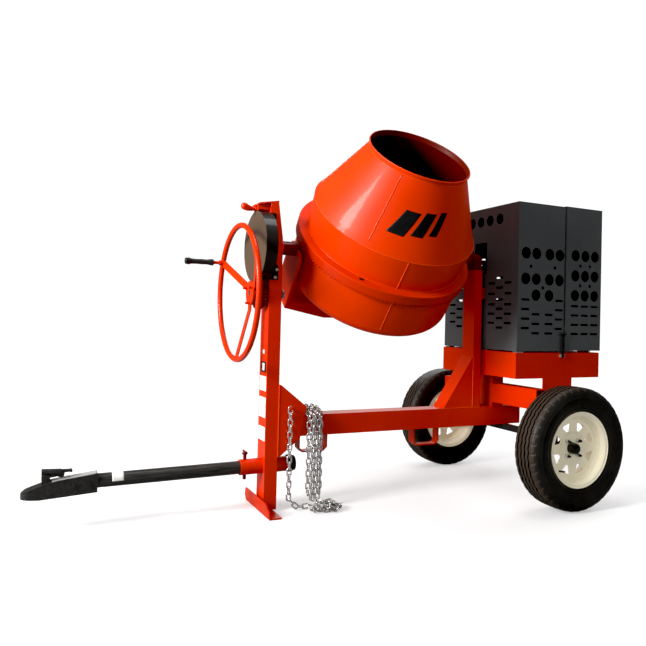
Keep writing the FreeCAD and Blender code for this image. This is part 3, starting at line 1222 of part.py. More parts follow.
def stud_spots(height):
    """Points on the stud circle at a height along the wheel's axis."""
    angles = [math.radians(360 * (k + 0.5) / STUDS) for k in range(STUDS)]
    return [V(STUD_CIRCLE_R * math.cos(a), STUD_CIRCLE_R * math.sin(a), height) for a in angles]


def rim_shape():
    t = 3.5
    half = [(RIM_FLANGE_R, RIM_HALF)] + bead_seat() + [(WELL_R + 2, RIM_HALF - 42)]
    path = half + [(a, -b) for a, b in half[::-1]]
    barrel = turned(thick_line(path, t))
    edge = WELL_R + 2 - t
    disc = [(edge, DISC_W + 4), (edge, DISC_W - 14), (edge - 4, DISC_W - 14), (edge - 5, DISC_W - 4),
            (edge - 12, DISC_W - 1), (86, DISC_W - 5), (73, HUB_W - 5), (30, HUB_W - 5), (30, HUB_W),
            (70, HUB_W), (84, DISC_W), (edge - 10, DISC_W + 4)]
    plate = turned(disc)
    window = prism_z([(88, -8), (88, 8), (127, 29), (127, -29)], DISC_W - 40, DISC_W + 30)
    window = window.makeFillet(6, [e for e in window.Edges if abs(e.tangentAt(e.FirstParameter).z) > 0.9])
    for k in range(8):
        plate = plate.cut(turned_copy(window, V(0, 0, 0), Z_AXIS, 45 * k + 22.5))
    for spot in stud_spots(HUB_W - 20):
        plate = plate.cut(cyl(spot, Z_AXIS, STUD_R + 0.3, 40))
    return fused([barrel, plate])


def hub_shape():
    """Hub with flange and studs, outer cap closed, running on the axle spindle."""
    flange = cyl(V(0, 0, HUB_W - 15), Z_AXIS, 66, 10)
    barrel = cyl(V(0, 0, HUB_W - 62), Z_AXIS, 34, 57)
    cap = turned([(0, HUB_W - 5), (28.5, HUB_W - 5), (28.5, HUB_W + 18), (24, HUB_W + 34), (0, HUB_W + 36)])
    bore = cyl(V(0, 0, HUB_W - 70), Z_AXIS, SPINDLE_ROAD_R + RUN_FIT, 70 + 24)
    studs = [cyl(spot, Z_AXIS, STUD_R, 36) for spot in stud_spots(HUB_W - 8)]
    return fused([flange, barrel, cap] + studs).cut(bore)


def nut_shapes():
    corner_r, height = 11, 17
    hexagon = [(corner_r * math.cos(math.radians(60 * i)), corner_r * math.sin(math.radians(60 * i)))
               for i in range(6)]
    nut = prism_z(hexagon, 0, height).cut(cyl(V(0, 0, -1), Z_AXIS, STUD_R, height + 2))
    nuts = []
    for spot in stud_spots(HUB_W):
        copy = nut.copy()
        copy.translate(spot)
        nuts.append(copy)
    return nuts


def road_wheels():
    tyre, rim, hub, nuts = tyre_shape(), rim_shape(), hub_shape(), nut_shapes()
    for name, side in (("right", -1), ("left", 1)):
        add("tyre_" + name, at_wheel(tyre, side))
        add("rim_" + name, at_wheel(rim, side))
        add("hub_" + name, at_wheel(hub, side))
        add("wheel_nuts_" + name, *[at_wheel(n, side) for n in nuts])


# ---------------------------------------------------------------- small parts
def frame_bolts():
    """Hexagon bolts that hold the gear guard to the post."""
    bolts = []
    for side in (-1, 1):
        for x, z in GUARD_BOLTS:
            start = V(x, side * (POST_Y / 2 + SHEET), z)
            corners = [start + V(BOLT_R * math.cos(a), 0, BOLT_R * math.sin(a))
                       for a in (math.radians(60 * i) for i in range(6))]
            bolts.append(face_of(corners).extrude(V(0, side * BOLT_HEAD, 0)))
    add("frame_bolts", *bolts)


def chain_link():
    r = LINK_WIRE_R
    w = LINK_HALF_WIDTH
    straight = LINK_INSIDE / 2 + r - w
    top = Part.Arc(V(-w, 0, straight), V(0, 0, straight + w), V(w, 0, straight)).toShape()
    low = Part.Arc(V(w, 0, -straight), V(0, 0, -straight - w), V(-w, 0, -straight)).toShape()
    right = Part.LineSegment(V(w, 0, straight), V(w, 0, -straight)).toShape()
    left = Part.LineSegment(V(-w, 0, -straight), V(-w, 0, straight)).toShape()
    path = Part.Wire([top, right, low, left])
    ring = Part.Wire([Part.Circle(V(w, 0, 0), Z_AXIS, r).toShape()])
    return path.makePipeShell([ring], True, True)


def chain_along(link, start, legs, roll, first_leads):
    """Lay a chain from start along legs given as (direction, number of links).

    Every second link is turned a quarter about its own length. At a bend the new link swings about the
    crossing wire of the link that lies in the plane of the bend; first_leads says whether that is the first
    link's kind.
    """
    reach = LINK_INSIDE / 2 + LINK_WIRE_R
    overlap = 2 * LINK_WIRE_R + LINK_SLACK
    directions = [V(direction).normalize() for direction, count in legs for _ in range(count)]
    links = []
    for i, direction in enumerate(directions):
        piece = link.copy()
        aim = FreeCAD.Rotation(Z_AXIS, direction)
        piece.Placement = FreeCAD.Placement(start + direction * reach, aim.multiply(
            FreeCAD.Rotation(Z_AXIS, roll + 90 * (i % 2))))
        links.append(piece)
        leads = (i % 2 == 0) == first_leads
        lead = direction if leads or i + 1 == len(directions) else directions[i + 1]
        start = start + direction * (2 * reach) - lead * overlap
    return links


def safety_chains():
    """One chain from the gusset hook to the ground, three strands over the beam, spare links below them."""
    link = chain_link()
    pitch = LINK_INSIDE - LINK_SLACK
    down = (0, 0, -1)
    hook_top = V(CHAIN_HOOK_X, -BEAM_SIZE / 2 - 26, CHAIN_HOOK_Z + 4 + LINK_WIRE_R + 0.3)
    links = chain_along(link, hook_top, [(down, 15), ((1, 0, -1), 2), ((1, 0, 0), 2)], 0, True)
    corner = pitch * math.sin(math.radians(45))
    half_width = LINK_HALF_WIDTH + LINK_WIRE_R + 0.3
    over_z = BEAM_LOW + BEAM_SIZE + half_width
    for k, x in enumerate(BUNDLE_X):
        start = V(x, 1.5 * pitch + corner, over_z - corner - 2 * pitch)
        legs = [((0, 0, 1), 2), ((0, -1, 1), 1), ((0, -1, 0), 3), ((0, -1, -1), 1), (down, 13 + k % 2)]
        links += chain_along(link, start, legs, 0, False)
    lying = LINK_HALF_WIDTH * math.sin(math.radians(45)) + LINK_WIRE_R + 0.9
    for x, y, level, count in CHAIN_ROWS:
        links += chain_along(link, V(x, y, (2 * level + 1) * lying), [((1, -0.08, 0), count)], 45, True)
    add("safety_chains", *links)


# ---------------------------------------------------------------- build
def build_all():
    for make in (front_post, foot_plate, main_beam, post_gussets, tie_down_loops, post_cap, rear_pedestal,
                 rear_bearing, platform_stand, engine_tray, axle, towing_gear, coupler_body, coupler_lever,
                 coupler_clamp, front_bearings, gear_guard, dump_gear, front_trunnion, dump_pinion,
                 handwheel_shaft, handwheel, crank_grip, tilt_lock_lever, yoke_frame, rear_trunnion,
                 drum_spindle, drum_cone, drum_belly, drum_bowl, ring_gear, drive_pinion, mixing_paddles,
                 drum_hub, engine_housing, rear_cover, housing_fittings, housing_latches,
                 pinion_shaft_and_pulley, engine_shaft, drive_belt,
                 engine_block, fuel_and_exhaust, road_wheels, frame_bolts, safety_chains):
        make()
    os.makedirs("parts", exist_ok=True)
    for name, shapes in PARTS.items():
        solids = [solid for shape in shapes for solid in shape.Solids]
        whole = solids[0] if len(solids) == 1 else Part.makeCompound(solids)
        whole.exportStep(os.path.join("parts", name + ".step"))


build_all()
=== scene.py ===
import json
import math

import bmesh
import bpy
from mathutils import Matrix, Vector


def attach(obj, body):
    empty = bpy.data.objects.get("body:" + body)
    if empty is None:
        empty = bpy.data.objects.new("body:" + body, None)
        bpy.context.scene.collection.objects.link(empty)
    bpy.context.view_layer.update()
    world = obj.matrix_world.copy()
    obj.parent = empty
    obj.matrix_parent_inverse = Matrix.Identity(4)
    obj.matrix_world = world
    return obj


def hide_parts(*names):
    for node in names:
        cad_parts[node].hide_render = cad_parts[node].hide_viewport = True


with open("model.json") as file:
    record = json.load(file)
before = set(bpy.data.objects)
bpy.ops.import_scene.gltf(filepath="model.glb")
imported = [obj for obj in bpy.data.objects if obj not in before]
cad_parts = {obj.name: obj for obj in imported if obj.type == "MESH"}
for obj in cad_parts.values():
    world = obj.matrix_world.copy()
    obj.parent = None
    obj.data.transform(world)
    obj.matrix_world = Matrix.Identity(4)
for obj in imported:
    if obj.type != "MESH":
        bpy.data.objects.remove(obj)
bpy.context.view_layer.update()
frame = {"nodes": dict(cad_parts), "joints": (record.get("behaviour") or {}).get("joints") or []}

NODES = frame["nodes"]
JOINTS = {joint["name"]: joint for joint in frame["joints"]}

# places taken from the frame's joints
DRUM_CENTRE = tuple(JOINTS["drum_spin"]["pos_m"])
DRUM_AXIS = tuple(JOINTS["drum_spin"]["axis"])
AXLE_X, _, AXLE_Z = JOINTS["wheel_right_spin"]["pos_m"]
GRIP_PLACE = JOINTS["grip_spin"]["pos_m"]
REST_TILT = math.atan2(-DRUM_AXIS[1], DRUM_AXIS[2])

# sizes that the pieces made here share with the CAD, in metres
HALF_TRACK = 0.534
BEAM_HALF = 0.0508
BEAM_LOW = 0.347
BEAM_TOP = BEAM_LOW + 2 * BEAM_HALF
POST_FRONT_X = -0.0315
TUBE_R = 0.03015
TUBE_AXIS_Z = 0.209
TUBE_DROOP = 0.012218
GRIP_FRONT_X = -0.3485


# ---------------------------------------------------------------- node tree helpers
class Nodes:
    """Small builder around a node tree."""

    def __init__(self, tree):
        self.tree = tree

    def node(self, kind, **values):
        """New node; a value goes to the input of that name, or else to the node's own setting."""
        made = self.tree.nodes.new(kind)
        for key, value in values.items():
            if key in made.inputs.keys():
                made.inputs[key].default_value = value
            else:
                setattr(made, key, value)
        return made

    def link(self, a, b):
        self.tree.links.new(a, b)

    def feed(self, socket, value):
        """Link or set an input; a colour of three numbers gets full alpha."""
        if isinstance(value, bpy.types.NodeSocket):
            self.link(value, socket)
        elif socket.type == "RGBA" and len(value) == 3:
            socket.default_value = (*value, 1)
        else:
            socket.default_value = value


class Mat(Nodes):
    """Node tree of a new material with one principled shader."""

    def __init__(self, name):
        self.mat = bpy.data.materials.new(name)
        self.mat.use_nodes = True
        super().__init__(self.mat.node_tree)
        self.bsdf = self.tree.nodes["Principled BSDF"]
        self.coord = None

    def where(self):
        if self.coord is None:
            self.coord = self.node("ShaderNodeTexCoord").outputs["Object"]
        return self.coord

    def noise(self, scale, detail=3.0, rough=0.55, stretch=None):
        source = self.where()
        if stretch:
            mapping = self.node("ShaderNodeMapping", Scale=stretch)
            self.link(source, mapping.inputs["Vector"])
            source = mapping.outputs["Vector"]
        made = self.node("ShaderNodeTexNoise", Scale=scale, Detail=detail, Roughness=rough)
        self.link(source, made.inputs["Vector"])
        return made.outputs["Fac"]

    def ramp(self, source, low, high):
        """Black below low, white above high."""
        made = self.node("ShaderNodeValToRGB")
        ends = made.color_ramp.elements
        ends[0].position, ends[1].position = low, high
        ends[0].color, ends[1].color = (0, 0, 0, 1), (1, 1, 1, 1)
        self.link(source, made.inputs["Fac"])
        return made.outputs["Color"]

    def mix(self, factor, a, b):
        """Colour a where the factor is 0, colour b where it is 1."""
        made = self.node("ShaderNodeMix", data_type="RGBA")
        factor_slot, a_slot, b_slot, colour_out = 0, 6, 7, 2
        for value, slot in ((factor, factor_slot), (a, a_slot), (b, b_slot)):
            self.feed(made.inputs[slot], value)
        return made.outputs[colour_out]

    def math(self, operation, a, b, clamp=False):
        made = self.node("ShaderNodeMath", operation=operation, use_clamp=clamp)
        self.feed(made.inputs[0], a)
        self.feed(made.inputs[1], b)
        return made.outputs[0]

    def vector(self, operation, a, b):
        made = self.node("ShaderNodeVectorMath", operation=operation)
        self.feed(made.inputs[0], a)
        self.feed(made.inputs[1], b)
        return made

    def dot(self, a, b):
        return self.vector("DOT_PRODUCT", a, b).outputs["Value"]

    def span(self, source, low, high):
        """Stretch a value of 0 to 1 over low to high."""
        made = self.node("ShaderNodeMapRange")
        made.inputs["To Min"].default_value = low
        made.inputs["To Max"].default_value = high
        self.link(source, made.inputs["Value"])
        return made.outputs["Result"]

    def rounded_normal(self, radius):
        """Normal of the surface as if its edges were rounded."""
        return self.node("ShaderNodeBevel", samples=4, Radius=radius).outputs["Normal"]

    def edges(self, radius, strength=6.0):
        """Mask that is white on sharp edges."""
        rounded = self.rounded_normal(radius)
        flat = self.node("ShaderNodeNewGeometry").outputs["Normal"]
        bend = self.math("SUBTRACT", 1.0, self.dot(rounded, flat))
        return self.math("MULTIPLY", bend, strength, clamp=True)

    def normal(self):
        return self.node("ShaderNodeTexCoord").outputs["Normal"]

    def facing(self, direction):
        """How far a face looks along a direction, from -1 to 1."""
        return self.dot(self.normal(), direction)

    def from_point(self, centre):
        return self.vector("SUBTRACT", self.where(), centre).outputs["Vector"]

    def facing_out(self, centre, axis):
        """How far a face looks away from an axis, in proportion to its distance from it."""
        offset = self.from_point(centre)
        foot = self.node("ShaderNodeVectorMath", operation="SCALE")
        foot.inputs[0].default_value = axis
        self.link(self.dot(offset, axis), foot.inputs["Scale"])
        radial = self.vector("SUBTRACT", offset, foot.outputs["Vector"]).outputs["Vector"]
        return self.dot(radial, self.normal())

    def bump(self, height, strength, distance, soft_edge):
        made = self.node("ShaderNodeBump", Strength=strength, Distance=distance)
        self.link(height, made.inputs["Height"])
        self.link(self.rounded_normal(soft_edge), made.inputs["Normal"])
        self.link(made.outputs["Normal"], self.bsdf.inputs["Normal"])

    def set(self, **values):
        for key, value in values.items():
            self.feed(self.bsdf.inputs[key.replace("_", " ")], value)


def paint(name, base, deep, worn, rough=0.3, coat=0.25, wear=0.5, second=None, glow=0.0):
    """Sprayed paint with slight mottling, orange-peel, a film of dust and rubbed edges.

    second is a mask function and the colour that the masked faces have instead; glow is painted light: the
    base colour glows with that strength.
    """
    m = Mat(name)
    mottled = m.mix(m.ramp(m.noise(2.3, 5.0), 0.35, 0.7), base, deep)
    spots = m.ramp(m.noise(55.0, 6.0, 0.7), 0.62, 0.72)
    rubbed = m.math("MULTIPLY", m.edges(0.0022), spots)
    colour = m.mix(m.math("MULTIPLY", rubbed, wear), mottled, worn)
    dusty = m.ramp(m.noise(7.0, 8.0, 0.68), 0.5, 0.85)
    if second:
        mask, other = second
        colour = m.mix(mask(m), colour, other)
    m.set(Base_Color=colour, Roughness=m.span(dusty, rough, rough + 0.14), Coat_Weight=coat,
          Coat_Roughness=0.1, Specular_IOR_Level=0.22, Emission_Color=base, Emission_Strength=glow)
    m.bump(m.noise(520.0, 2.0), 0.05, 0.0006, soft_edge=0.0012)
    return m.mat


def plastic(name, base, light, rough=0.5, grain=900.0, strength=0.25, shine=0.4, second=None):
    """Moulded plastic or rubber with a fine grain; second is as in paint()."""
    m = Mat(name)
    colour = m.mix(m.ramp(m.noise(14.0, 6.0), 0.4, 0.75), base, light)
    if second:
        mask, other = second
        colour = m.mix(mask(m), colour, other)
    roughness = m.span(m.noise(30.0, 4.0), rough - 0.08, rough + 0.12)
    m.set(Base_Color=colour, Roughness=roughness, Specular_IOR_Level=shine)
    m.bump(m.noise(grain, 3.0), strength, 0.0005, soft_edge=0.0008)
    return m.mat


def metal(name, base, dark, rough=0.3, streak=None, scale=60.0, metallic=1.0):
    """Bare or plated metal with cloudy tone; streak stretches the clouds into streaks along one direction,
    brush marks on the brushed steels.
    """
    m = Mat(name)
    colour = m.mix(m.ramp(m.noise(scale, 5.0, 0.65, stretch=streak), 0.35, 0.75), base, dark)
    roughness = m.span(m.noise(scale * 0.5, 4.0, stretch=streak), rough - 0.08, rough + 0.18)
    m.set(Base_Color=colour, Metallic=metallic, Roughness=roughness)
    m.bump(m.noise(scale * 12, 2.0, stretch=streak), 0.12, 0.0004, soft_edge=0.0008)
    return m.mat


# ---------------------------------------------------------------- masks of second colours
# the bowl's band behind the gear teeth gets painted shade
GEAR_SHADE_BAND = (0.027, 0.0765)        # heights of the bowl's wall behind the ring gear's teeth


def drum_painted_shade(m):
    """Mask of painted shade: the inner faces of the drum sheets and the band of the bowl behind the gear
    teeth.
    """
    inner = m.math("LESS_THAN", m.facing_out(DRUM_CENTRE, DRUM_AXIS), -0.05)
    height = m.dot(m.from_point(DRUM_CENTRE), DRUM_AXIS)
    low, high = GEAR_SHADE_BAND
    above = m.math("GREATER_THAN", height, low)
    below = m.math("LESS_THAN", height, high)
    return m.math("MAXIMUM", inner, m.math("MULTIPLY", above, below))


def tooth_flanks(m):
    return m.math("LESS_THAN", m.facing_out(DRUM_CENTRE, DRUM_AXIS), 0.3)


# front faces of the guard, which get a lighter, warmer brown: painted reflection
def guard_front_painted_reflection(m):
    return m.math("GREATER_THAN", m.facing((-1, 0, 0)), 0.5)


def tyre_tread(m):
    dusty = m.span(m.noise(9.0, 6.0, 0.6), 0.75, 1.0)
    outward = m.facing_out((AXLE_X, 0, AXLE_Z), (0, 1, 0))
    return m.math("MULTIPLY", m.math("GREATER_THAN", outward, 0.2), dusty)


# ---------------------------------------------------------------- materials
ORANGE = paint("orange_paint", (0.68, 0.031, 0.0012), (0.58, 0.024, 0.0010), (0.30, 0.05, 0.02), coat=0.15)
# the drum's second colour, a dark red, is painted shade on its inner faces and behind the gear teeth
DRUM_PAINT = paint("drum_paint", (0.73, 0.043, 0.0014), (0.64, 0.034, 0.0012), (0.30, 0.05, 0.02),
                   rough=0.44, coat=0.10, wear=0.3, second=(drum_painted_shade, (0.14, 0.009, 0.002)))
GEAR_PAINT = paint("gear_paint", (0.60, 0.028, 0.001), (0.50, 0.022, 0.001), (0.3, 0.2, 0.18),
                   rough=0.34, second=(tooth_flanks, (0.09, 0.004, 0.001)))
# a darker red for the bearings, trunnions, dump gears and hitch pin: painted shade standing for the orange
# paint in shade
SHADED_RED = paint("dark_red_paint", (0.17, 0.006, 0.003), (0.11, 0.004, 0.002), (0.2, 0.1, 0.08), rough=0.35)
# weld beads in a lighter orange than the paint round them: a painted highlight along the seams
HIGHLIGHTED_WELD = paint("weld_painted_highlight", (0.82, 0.085, 0.016), (0.74, 0.060, 0.010), (0.25, 0.08, 0.04), rough=0.3)
BLACK_PAINT = paint("black_paint", (0.011, 0.011, 0.011), (0.018, 0.018, 0.017), (0.10, 0.09, 0.08),
                    rough=0.3)
# the guard's front faces get a lighter brown: painted reflection
GUARD_PAINT = paint("guard_paint", (0.014, 0.013, 0.012), (0.022, 0.020, 0.018), (0.12, 0.10, 0.08),
                    rough=0.42, second=(guard_front_painted_reflection, (0.088, 0.058, 0.038)))
HOUSING = paint("housing_paint", (0.100, 0.104, 0.106), (0.084, 0.088, 0.090), (0.12, 0.12, 0.12),
                rough=0.42, coat=0.1, wear=0.3)
# the cream rims glow a little (glow 0.10): painted light that brightens them
CREAM = paint("cream_paint", (0.98, 0.91, 0.70), (0.95, 0.87, 0.66), (0.55, 0.5, 0.42),
              rough=0.34, coat=0.3, glow=0.10)
ZINC = metal("bright_zinc", (0.92, 0.92, 0.90), (0.36, 0.36, 0.35), 0.22, metallic=0.82)
STEEL = metal("machined_steel", (0.46, 0.45, 0.43), (0.24, 0.22, 0.20), 0.34, streak=(40, 1, 1), scale=8.0)
DARK_STEEL = metal("oiled_steel", (0.042, 0.041, 0.039), (0.014, 0.014, 0.013), 0.30, metallic=0.35)
# black tube with lighter grey streaks stretched along it
TOW_PAINT = metal("streaked_black_tube", (0.013, 0.013, 0.012), (0.070, 0.068, 0.062), 0.36,
                  streak=(3, 45, 45), scale=3.0, metallic=0.2)
LIGHT_STEEL = metal("brushed_light_steel", (0.58, 0.58, 0.56), (0.36, 0.36, 0.35), 0.3,
                    streak=(1, 60, 60), scale=5.0, metallic=0.3)
TYRE = plastic("tyre_rubber_black", (0.013, 0.0122, 0.011), (0.020, 0.018, 0.015), 0.48, 380.0, 0.35,
               shine=0.38, second=(tyre_tread, (0.046, 0.034, 0.025)))
RUBBER = plastic("black_rubber", (0.014, 0.014, 0.014), (0.03, 0.03, 0.03), 0.62, 500.0, 0.3)
PLASTIC = plastic("black_plastic", (0.012, 0.012, 0.012), (0.024, 0.024, 0.024), 0.4, 1100.0, 0.2)
LABEL_WHITE = plastic("label_white", (0.78, 0.78, 0.74), (0.70, 0.70, 0.66), 0.35, 700.0, 0.05)
LABEL_BLACK = plastic("label_black", (0.010, 0.010, 0.010), (0.016, 0.016, 0.016), 0.3, 700.0, 0.05)

# the nodes that are not orange
FINISH = {
    DRUM_PAINT: ("drum_cone", "drum_belly", "drum_bowl"),
    GEAR_PAINT: ("ring_gear",),
    TOW_PAINT: ("tow_tube",),
    # parts in the darker red of painted shade
    SHADED_RED: ("hitch_pin", "rear_bearing", "front_trunnion", "rear_trunnion", "dump_pinion", "dump_gear"),
    GUARD_PAINT: ("gear_guard",),
    BLACK_PAINT: ("axle", "driven_pulley", "engine_block", "fuel_tank", "hub_left", "hub_right"),
    HOUSING: ("engine_housing", "rear_cover"),
    CREAM: ("rim_left", "rim_right"),
    ZINC: ("safety_chains", "frame_bolts", "wheel_nuts_left", "wheel_nuts_right", "housing_fittings"),
    STEEL: ("pinion_shaft", "drum_spindle", "handwheel_shaft", "drive_pinion", "engine_pulley", "muffler"),
    DARK_STEEL: ("coupler_body", "coupler_lever", "coupler_clamp"),
    RUBBER: ("drive_belt", "latch_left", "latch_right"),
    TYRE: ("tyre_left", "tyre_right"),
    PLASTIC: ("crank_grip", "tube_end_cap"),
}


def dress_nodes():
    by_node = {name: mat for mat, names in FINISH.items() for name in names}
    for name, obj in NODES.items():
        obj.data.materials.clear()
        obj.data.materials.append(by_node.get(name, ORANGE))


# ---------------------------------------------------------------- camera, lights and floor
CAMERA_PLACE = (-1.0364, -2.9158, 0.9189)
CAMERA_TURN = (25.33, 0.94, 1.43)          # yaw, pitch and roll in degrees
CAMERA_LENS = 35.62                        # for a sensor 36 wide
CAMERA_SHIFT = (-0.0197, -0.0232)

# name, place, target, size, power, seen in reflections
LIGHTS = (
    ("key", (-4.2, -1.1, 2.7), (0.5, 0.0, 0.9), (1.2, 1.5), 300, True),
    ("left_wall", (-3.6, 0.9, 1.2), (0.5, 0.0, 0.8), (2.4, 2.2), 100, False),
    ("front_fill", (0.4, -4.8, 2.6), (0.9, 0.0, 0.8), (2.4, 1.6), 34, False),
    ("top", (0.8, -0.4, 4.6), (0.8, 0.0, 0.0), (1.6, 1.6), 46, True),
    ("back", (2.6, 3.8, 2.6), (0.9, 0.0, 0.8), (2.4, 1.8), 60, True),
    ("right_fill", (5.2, 0.9, 2.0), (1.2, 0.0, 0.9), (2.6, 2.2), 120, False),
)
GLOW_LEFT, GLOW_RIGHT, GLOW_REFLECTED = 0.50, 0.05, 0.16       # strength of the surroundings

FLOOR_X = 0.4                              # middle of the floor's pale patch
FLOOR_R = 14
FADE_FROM, FADE_TO = 1.4, 4.2              # distances over which the floor fades to white


def camera():
    yaw, pitch, roll = (math.radians(angle) for angle in CAMERA_TURN)
    forward = Vector((math.sin(yaw) * math.cos(pitch), math.cos(yaw) * math.cos(pitch), math.sin(pitch)))
    right = Vector((math.cos(yaw), -math.sin(yaw), 0))
    up = right.cross(forward)
    right, up = (right * math.cos(roll) + up * math.sin(roll), up * math.cos(roll) - right * math.sin(roll))
    data = bpy.data.cameras.new("view")
    data.sensor_width = 36
    data.lens = CAMERA_LENS
    data.shift_x, data.shift_y = CAMERA_SHIFT
    data.clip_end = 100
    obj = bpy.data.objects.new("view", data)
    turn = Matrix((right, up, -forward)).transposed().to_4x4()
    obj.matrix_world = Matrix.Translation(CAMERA_PLACE) @ turn
    bpy.context.scene.collection.objects.link(obj)
    bpy.context.scene.camera = obj


def area_light(name, place, target, size, power, in_reflections):
    data = bpy.data.lights.new(name, "AREA")
    data.shape = "RECTANGLE"
    data.size, data.size_y = size
    data.energy = power
    obj = bpy.data.objects.new(name, data)
    obj.location = place
    obj.rotation_euler = (Vector(target) - Vector(place)).to_track_quat("-Z", "Y").to_euler()
    obj.visible_glossy = in_reflections
    bpy.context.scene.collection.objects.link(obj)


def surroundings():
    """White to the camera, a soft glow from the left for the surfaces, and dim in reflections."""
    world = bpy.data.worlds.new("studio")
    bpy.context.scene.world = world
    world.use_nodes = True
    world.node_tree.nodes.clear()
    made = Nodes(world.node_tree)
    coord = made.node("ShaderNodeTexCoord")
    split = made.node("ShaderNodeSeparateXYZ")
    made.link(coord.outputs["Generated"], split.inputs[0])
    side = made.node("ShaderNodeMapRange")
    for key, value in (("From Min", 1.0), ("From Max", -1.0), ("To Min", GLOW_RIGHT), ("To Max", GLOW_LEFT)):
        side.inputs[key].default_value = value
    made.link(split.outputs["X"], side.inputs["Value"])
    soft = made.node("ShaderNodeBackground")
    made.link(side.outputs["Result"], soft.inputs["Strength"])
    dim = made.node("ShaderNodeBackground", Strength=GLOW_REFLECTED)
    white = made.node("ShaderNodeBackground", Color=(1, 1, 1, 1), Strength=1.0)
    path = made.node("ShaderNodeLightPath")
    reflected = choice(made, path.outputs["Is Glossy Ray"], soft, dim)
    seen = choice(made, path.outputs["Is Camera Ray"], reflected, white)
    out = made.node("ShaderNodeOutputWorld")
    made.link(seen.outputs[0], out.inputs[0])


def choice(made, switch, a, b):
    """Shader a where the switch is 0, shader b where it is 1."""
    mixed = made.node("ShaderNodeMixShader")
    made.link(switch, mixed.inputs[0])
    made.link(a.outputs[0], mixed.inputs[1])
    made.link(b.outputs[0], mixed.inputs[2])
    return mixed


def studio():
    surroundings()
    for light in LIGHTS:
        area_light(*light)


def floor():
    """Pale floor that fades to white away from the machine and throws little light back."""
    bpy.ops.mesh.primitive_circle_add(vertices=96, radius=FLOOR_R, fill_type="NGON",
                                      location=(FLOOR_X, 0, -0.0005))
    obj = bpy.context.object
    obj.name = "floor"
    m = Mat("pale_floor")
    m.set(Base_Color=m.mix(m.noise(3.0, 4.0), (0.95, 0.95, 0.95), (0.97, 0.97, 0.97)), Roughness=0.75)
    place = m.node("ShaderNodeNewGeometry").outputs["Position"]
    offset = m.vector("SUBTRACT", place, (FLOOR_X, 0, 0)).outputs["Vector"]
    length = m.node("ShaderNodeVectorMath", operation="LENGTH")
    m.link(offset, length.inputs[0])
    fade = m.node("ShaderNodeMapRange", interpolation_type="SMOOTHSTEP")
    for key, value in (("From Min", FADE_FROM), ("From Max", FADE_TO), ("To Min", 0.35)):
        fade.inputs[key].default_value = value
    m.link(length.outputs["Value"], fade.inputs["Value"])
    white = m.node("ShaderNodeEmission", Strength=1.0)
    clear = choice(m, fade.outputs["Result"], m.bsdf, white)
    bounced = m.node("ShaderNodeBsdfDiffuse", Color=(0.22, 0.22, 0.22, 1))
    seen = m.node("ShaderNodeLightPath").outputs["Is Camera Ray"]
    shown = choice(m, seen, bounced, clear)
    m.link(shown.outputs[0], m.tree.nodes["Material Output"].inputs["Surface"])
    obj.data.materials.append(m.mat)


def look():
    """Plain view transform with a slight stretch of the tones."""
    settings = bpy.context.scene.view_settings
    settings.view_transform = "Standard"
    settings.look = "None"
    settings.exposure = 0.0
    settings.gamma = 1.0
    settings.use_curve_mapping = True
    settings.curve_mapping.black_level = (0.010, 0.010, 0.010)
    settings.curve_mapping.white_level = (0.94, 0.94, 0.94)
    settings.curve_mapping.update()


# ---------------------------------------------------------------- mesh helpers
DRUM = Matrix.Translation(DRUM_CENTRE) @ Matrix.Rotation(REST_TILT, 4, "X")
# drum wall (height along the axis, radius), from the bowl's corner to the mouth
WALL = ((-0.150, 0.4395), (0.0765, 0.4395), (0.077, 0.411), (0.081, 0.411), (0.242, 0.419),
        (0.266, 0.404), (0.556, 0.246), (0.576, 0.250))


def wall_radius(s):
    for (s0, r0), (s1, r1) in zip(WALL, WALL[1:]):
        if s0 <= s <= s1:
            return r0 + (r1 - r0) * (s - s0) / (s1 - s0)
    return WALL[-1][1]


def polar(radius, angle, height):
    return Vector((radius * math.cos(angle), radius * math.sin(angle), height))


def turns(count):
    """Angles of count equal steps round a circle."""
    return [2 * math.pi * k / count for k in range(count)]


def piece(name, verts, faces, body, material, smooth=True, replaces=()):
    """Mesh object that rides on a body and takes the material it is given."""
    mesh = bpy.data.meshes.new(name)
    mesh.from_pydata([tuple(v) for v in verts], [], faces)
    mesh.update()
    work = bmesh.new()
    work.from_mesh(mesh)
    bmesh.ops.recalc_face_normals(work, faces=work.faces)
    work.to_mesh(mesh)
    work.free()
    for face in mesh.polygons:
        face.use_smooth = smooth
    mesh.materials.append(material)
    obj = bpy.data.objects.new(name, mesh)
    bpy.context.scene.collection.objects.link(obj)
    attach(obj, body)
    if replaces:
        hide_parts(*replaces)


def grid_faces(rows, columns, close_rows=True, close_columns=True):
    """Quads over a grid of rows x columns vertices, stored row by row."""
    faces = []
    for i in range(rows if close_rows else rows - 1):
        for j in range(columns if close_columns else columns - 1):
            a, b = i * columns + j, i * columns + (j + 1) % columns
            c, d = ((i + 1) % rows) * columns + (j + 1) % columns, ((i + 1) % rows) * columns + j
            faces.append((a, b, c, d))
    return faces


def two_sided(front, loop, count):
    """Close a sheet: its front faces, the same faces at the back, and the sides along its edge loop.

    The back's vertices follow the front's, count of them each.
    """
    faces = list(front) + [tuple(count + k for k in reversed(face)) for face in front]
    return faces + [(a, b, count + b, count + a) for a, b in zip(loop, loop[1:] + loop[:1])]


def sheet_faces(rows, columns):
    """Faces of a thin sheet given as two grids of rows x columns vertices, one behind the other."""
    loop = list(range(columns))
    loop += [i * columns + columns - 1 for i in range(1, rows)]
    loop += [(rows - 1) * columns + j for j in range(columns - 2, -1, -1)]
    loop += [i * columns for i in range(rows - 2, 0, -1)]
    return two_sided(grid_faces(rows, columns, False, False), loop, rows * columns)


def capped_faces(rows, columns):
    """Faces of a closed body whose cross-sections are rows of columns vertices."""
    ends = [tuple(range(columns)), tuple(range((rows - 1) * columns, rows * columns))]
    return grid_faces(rows, columns, close_rows=False) + ends


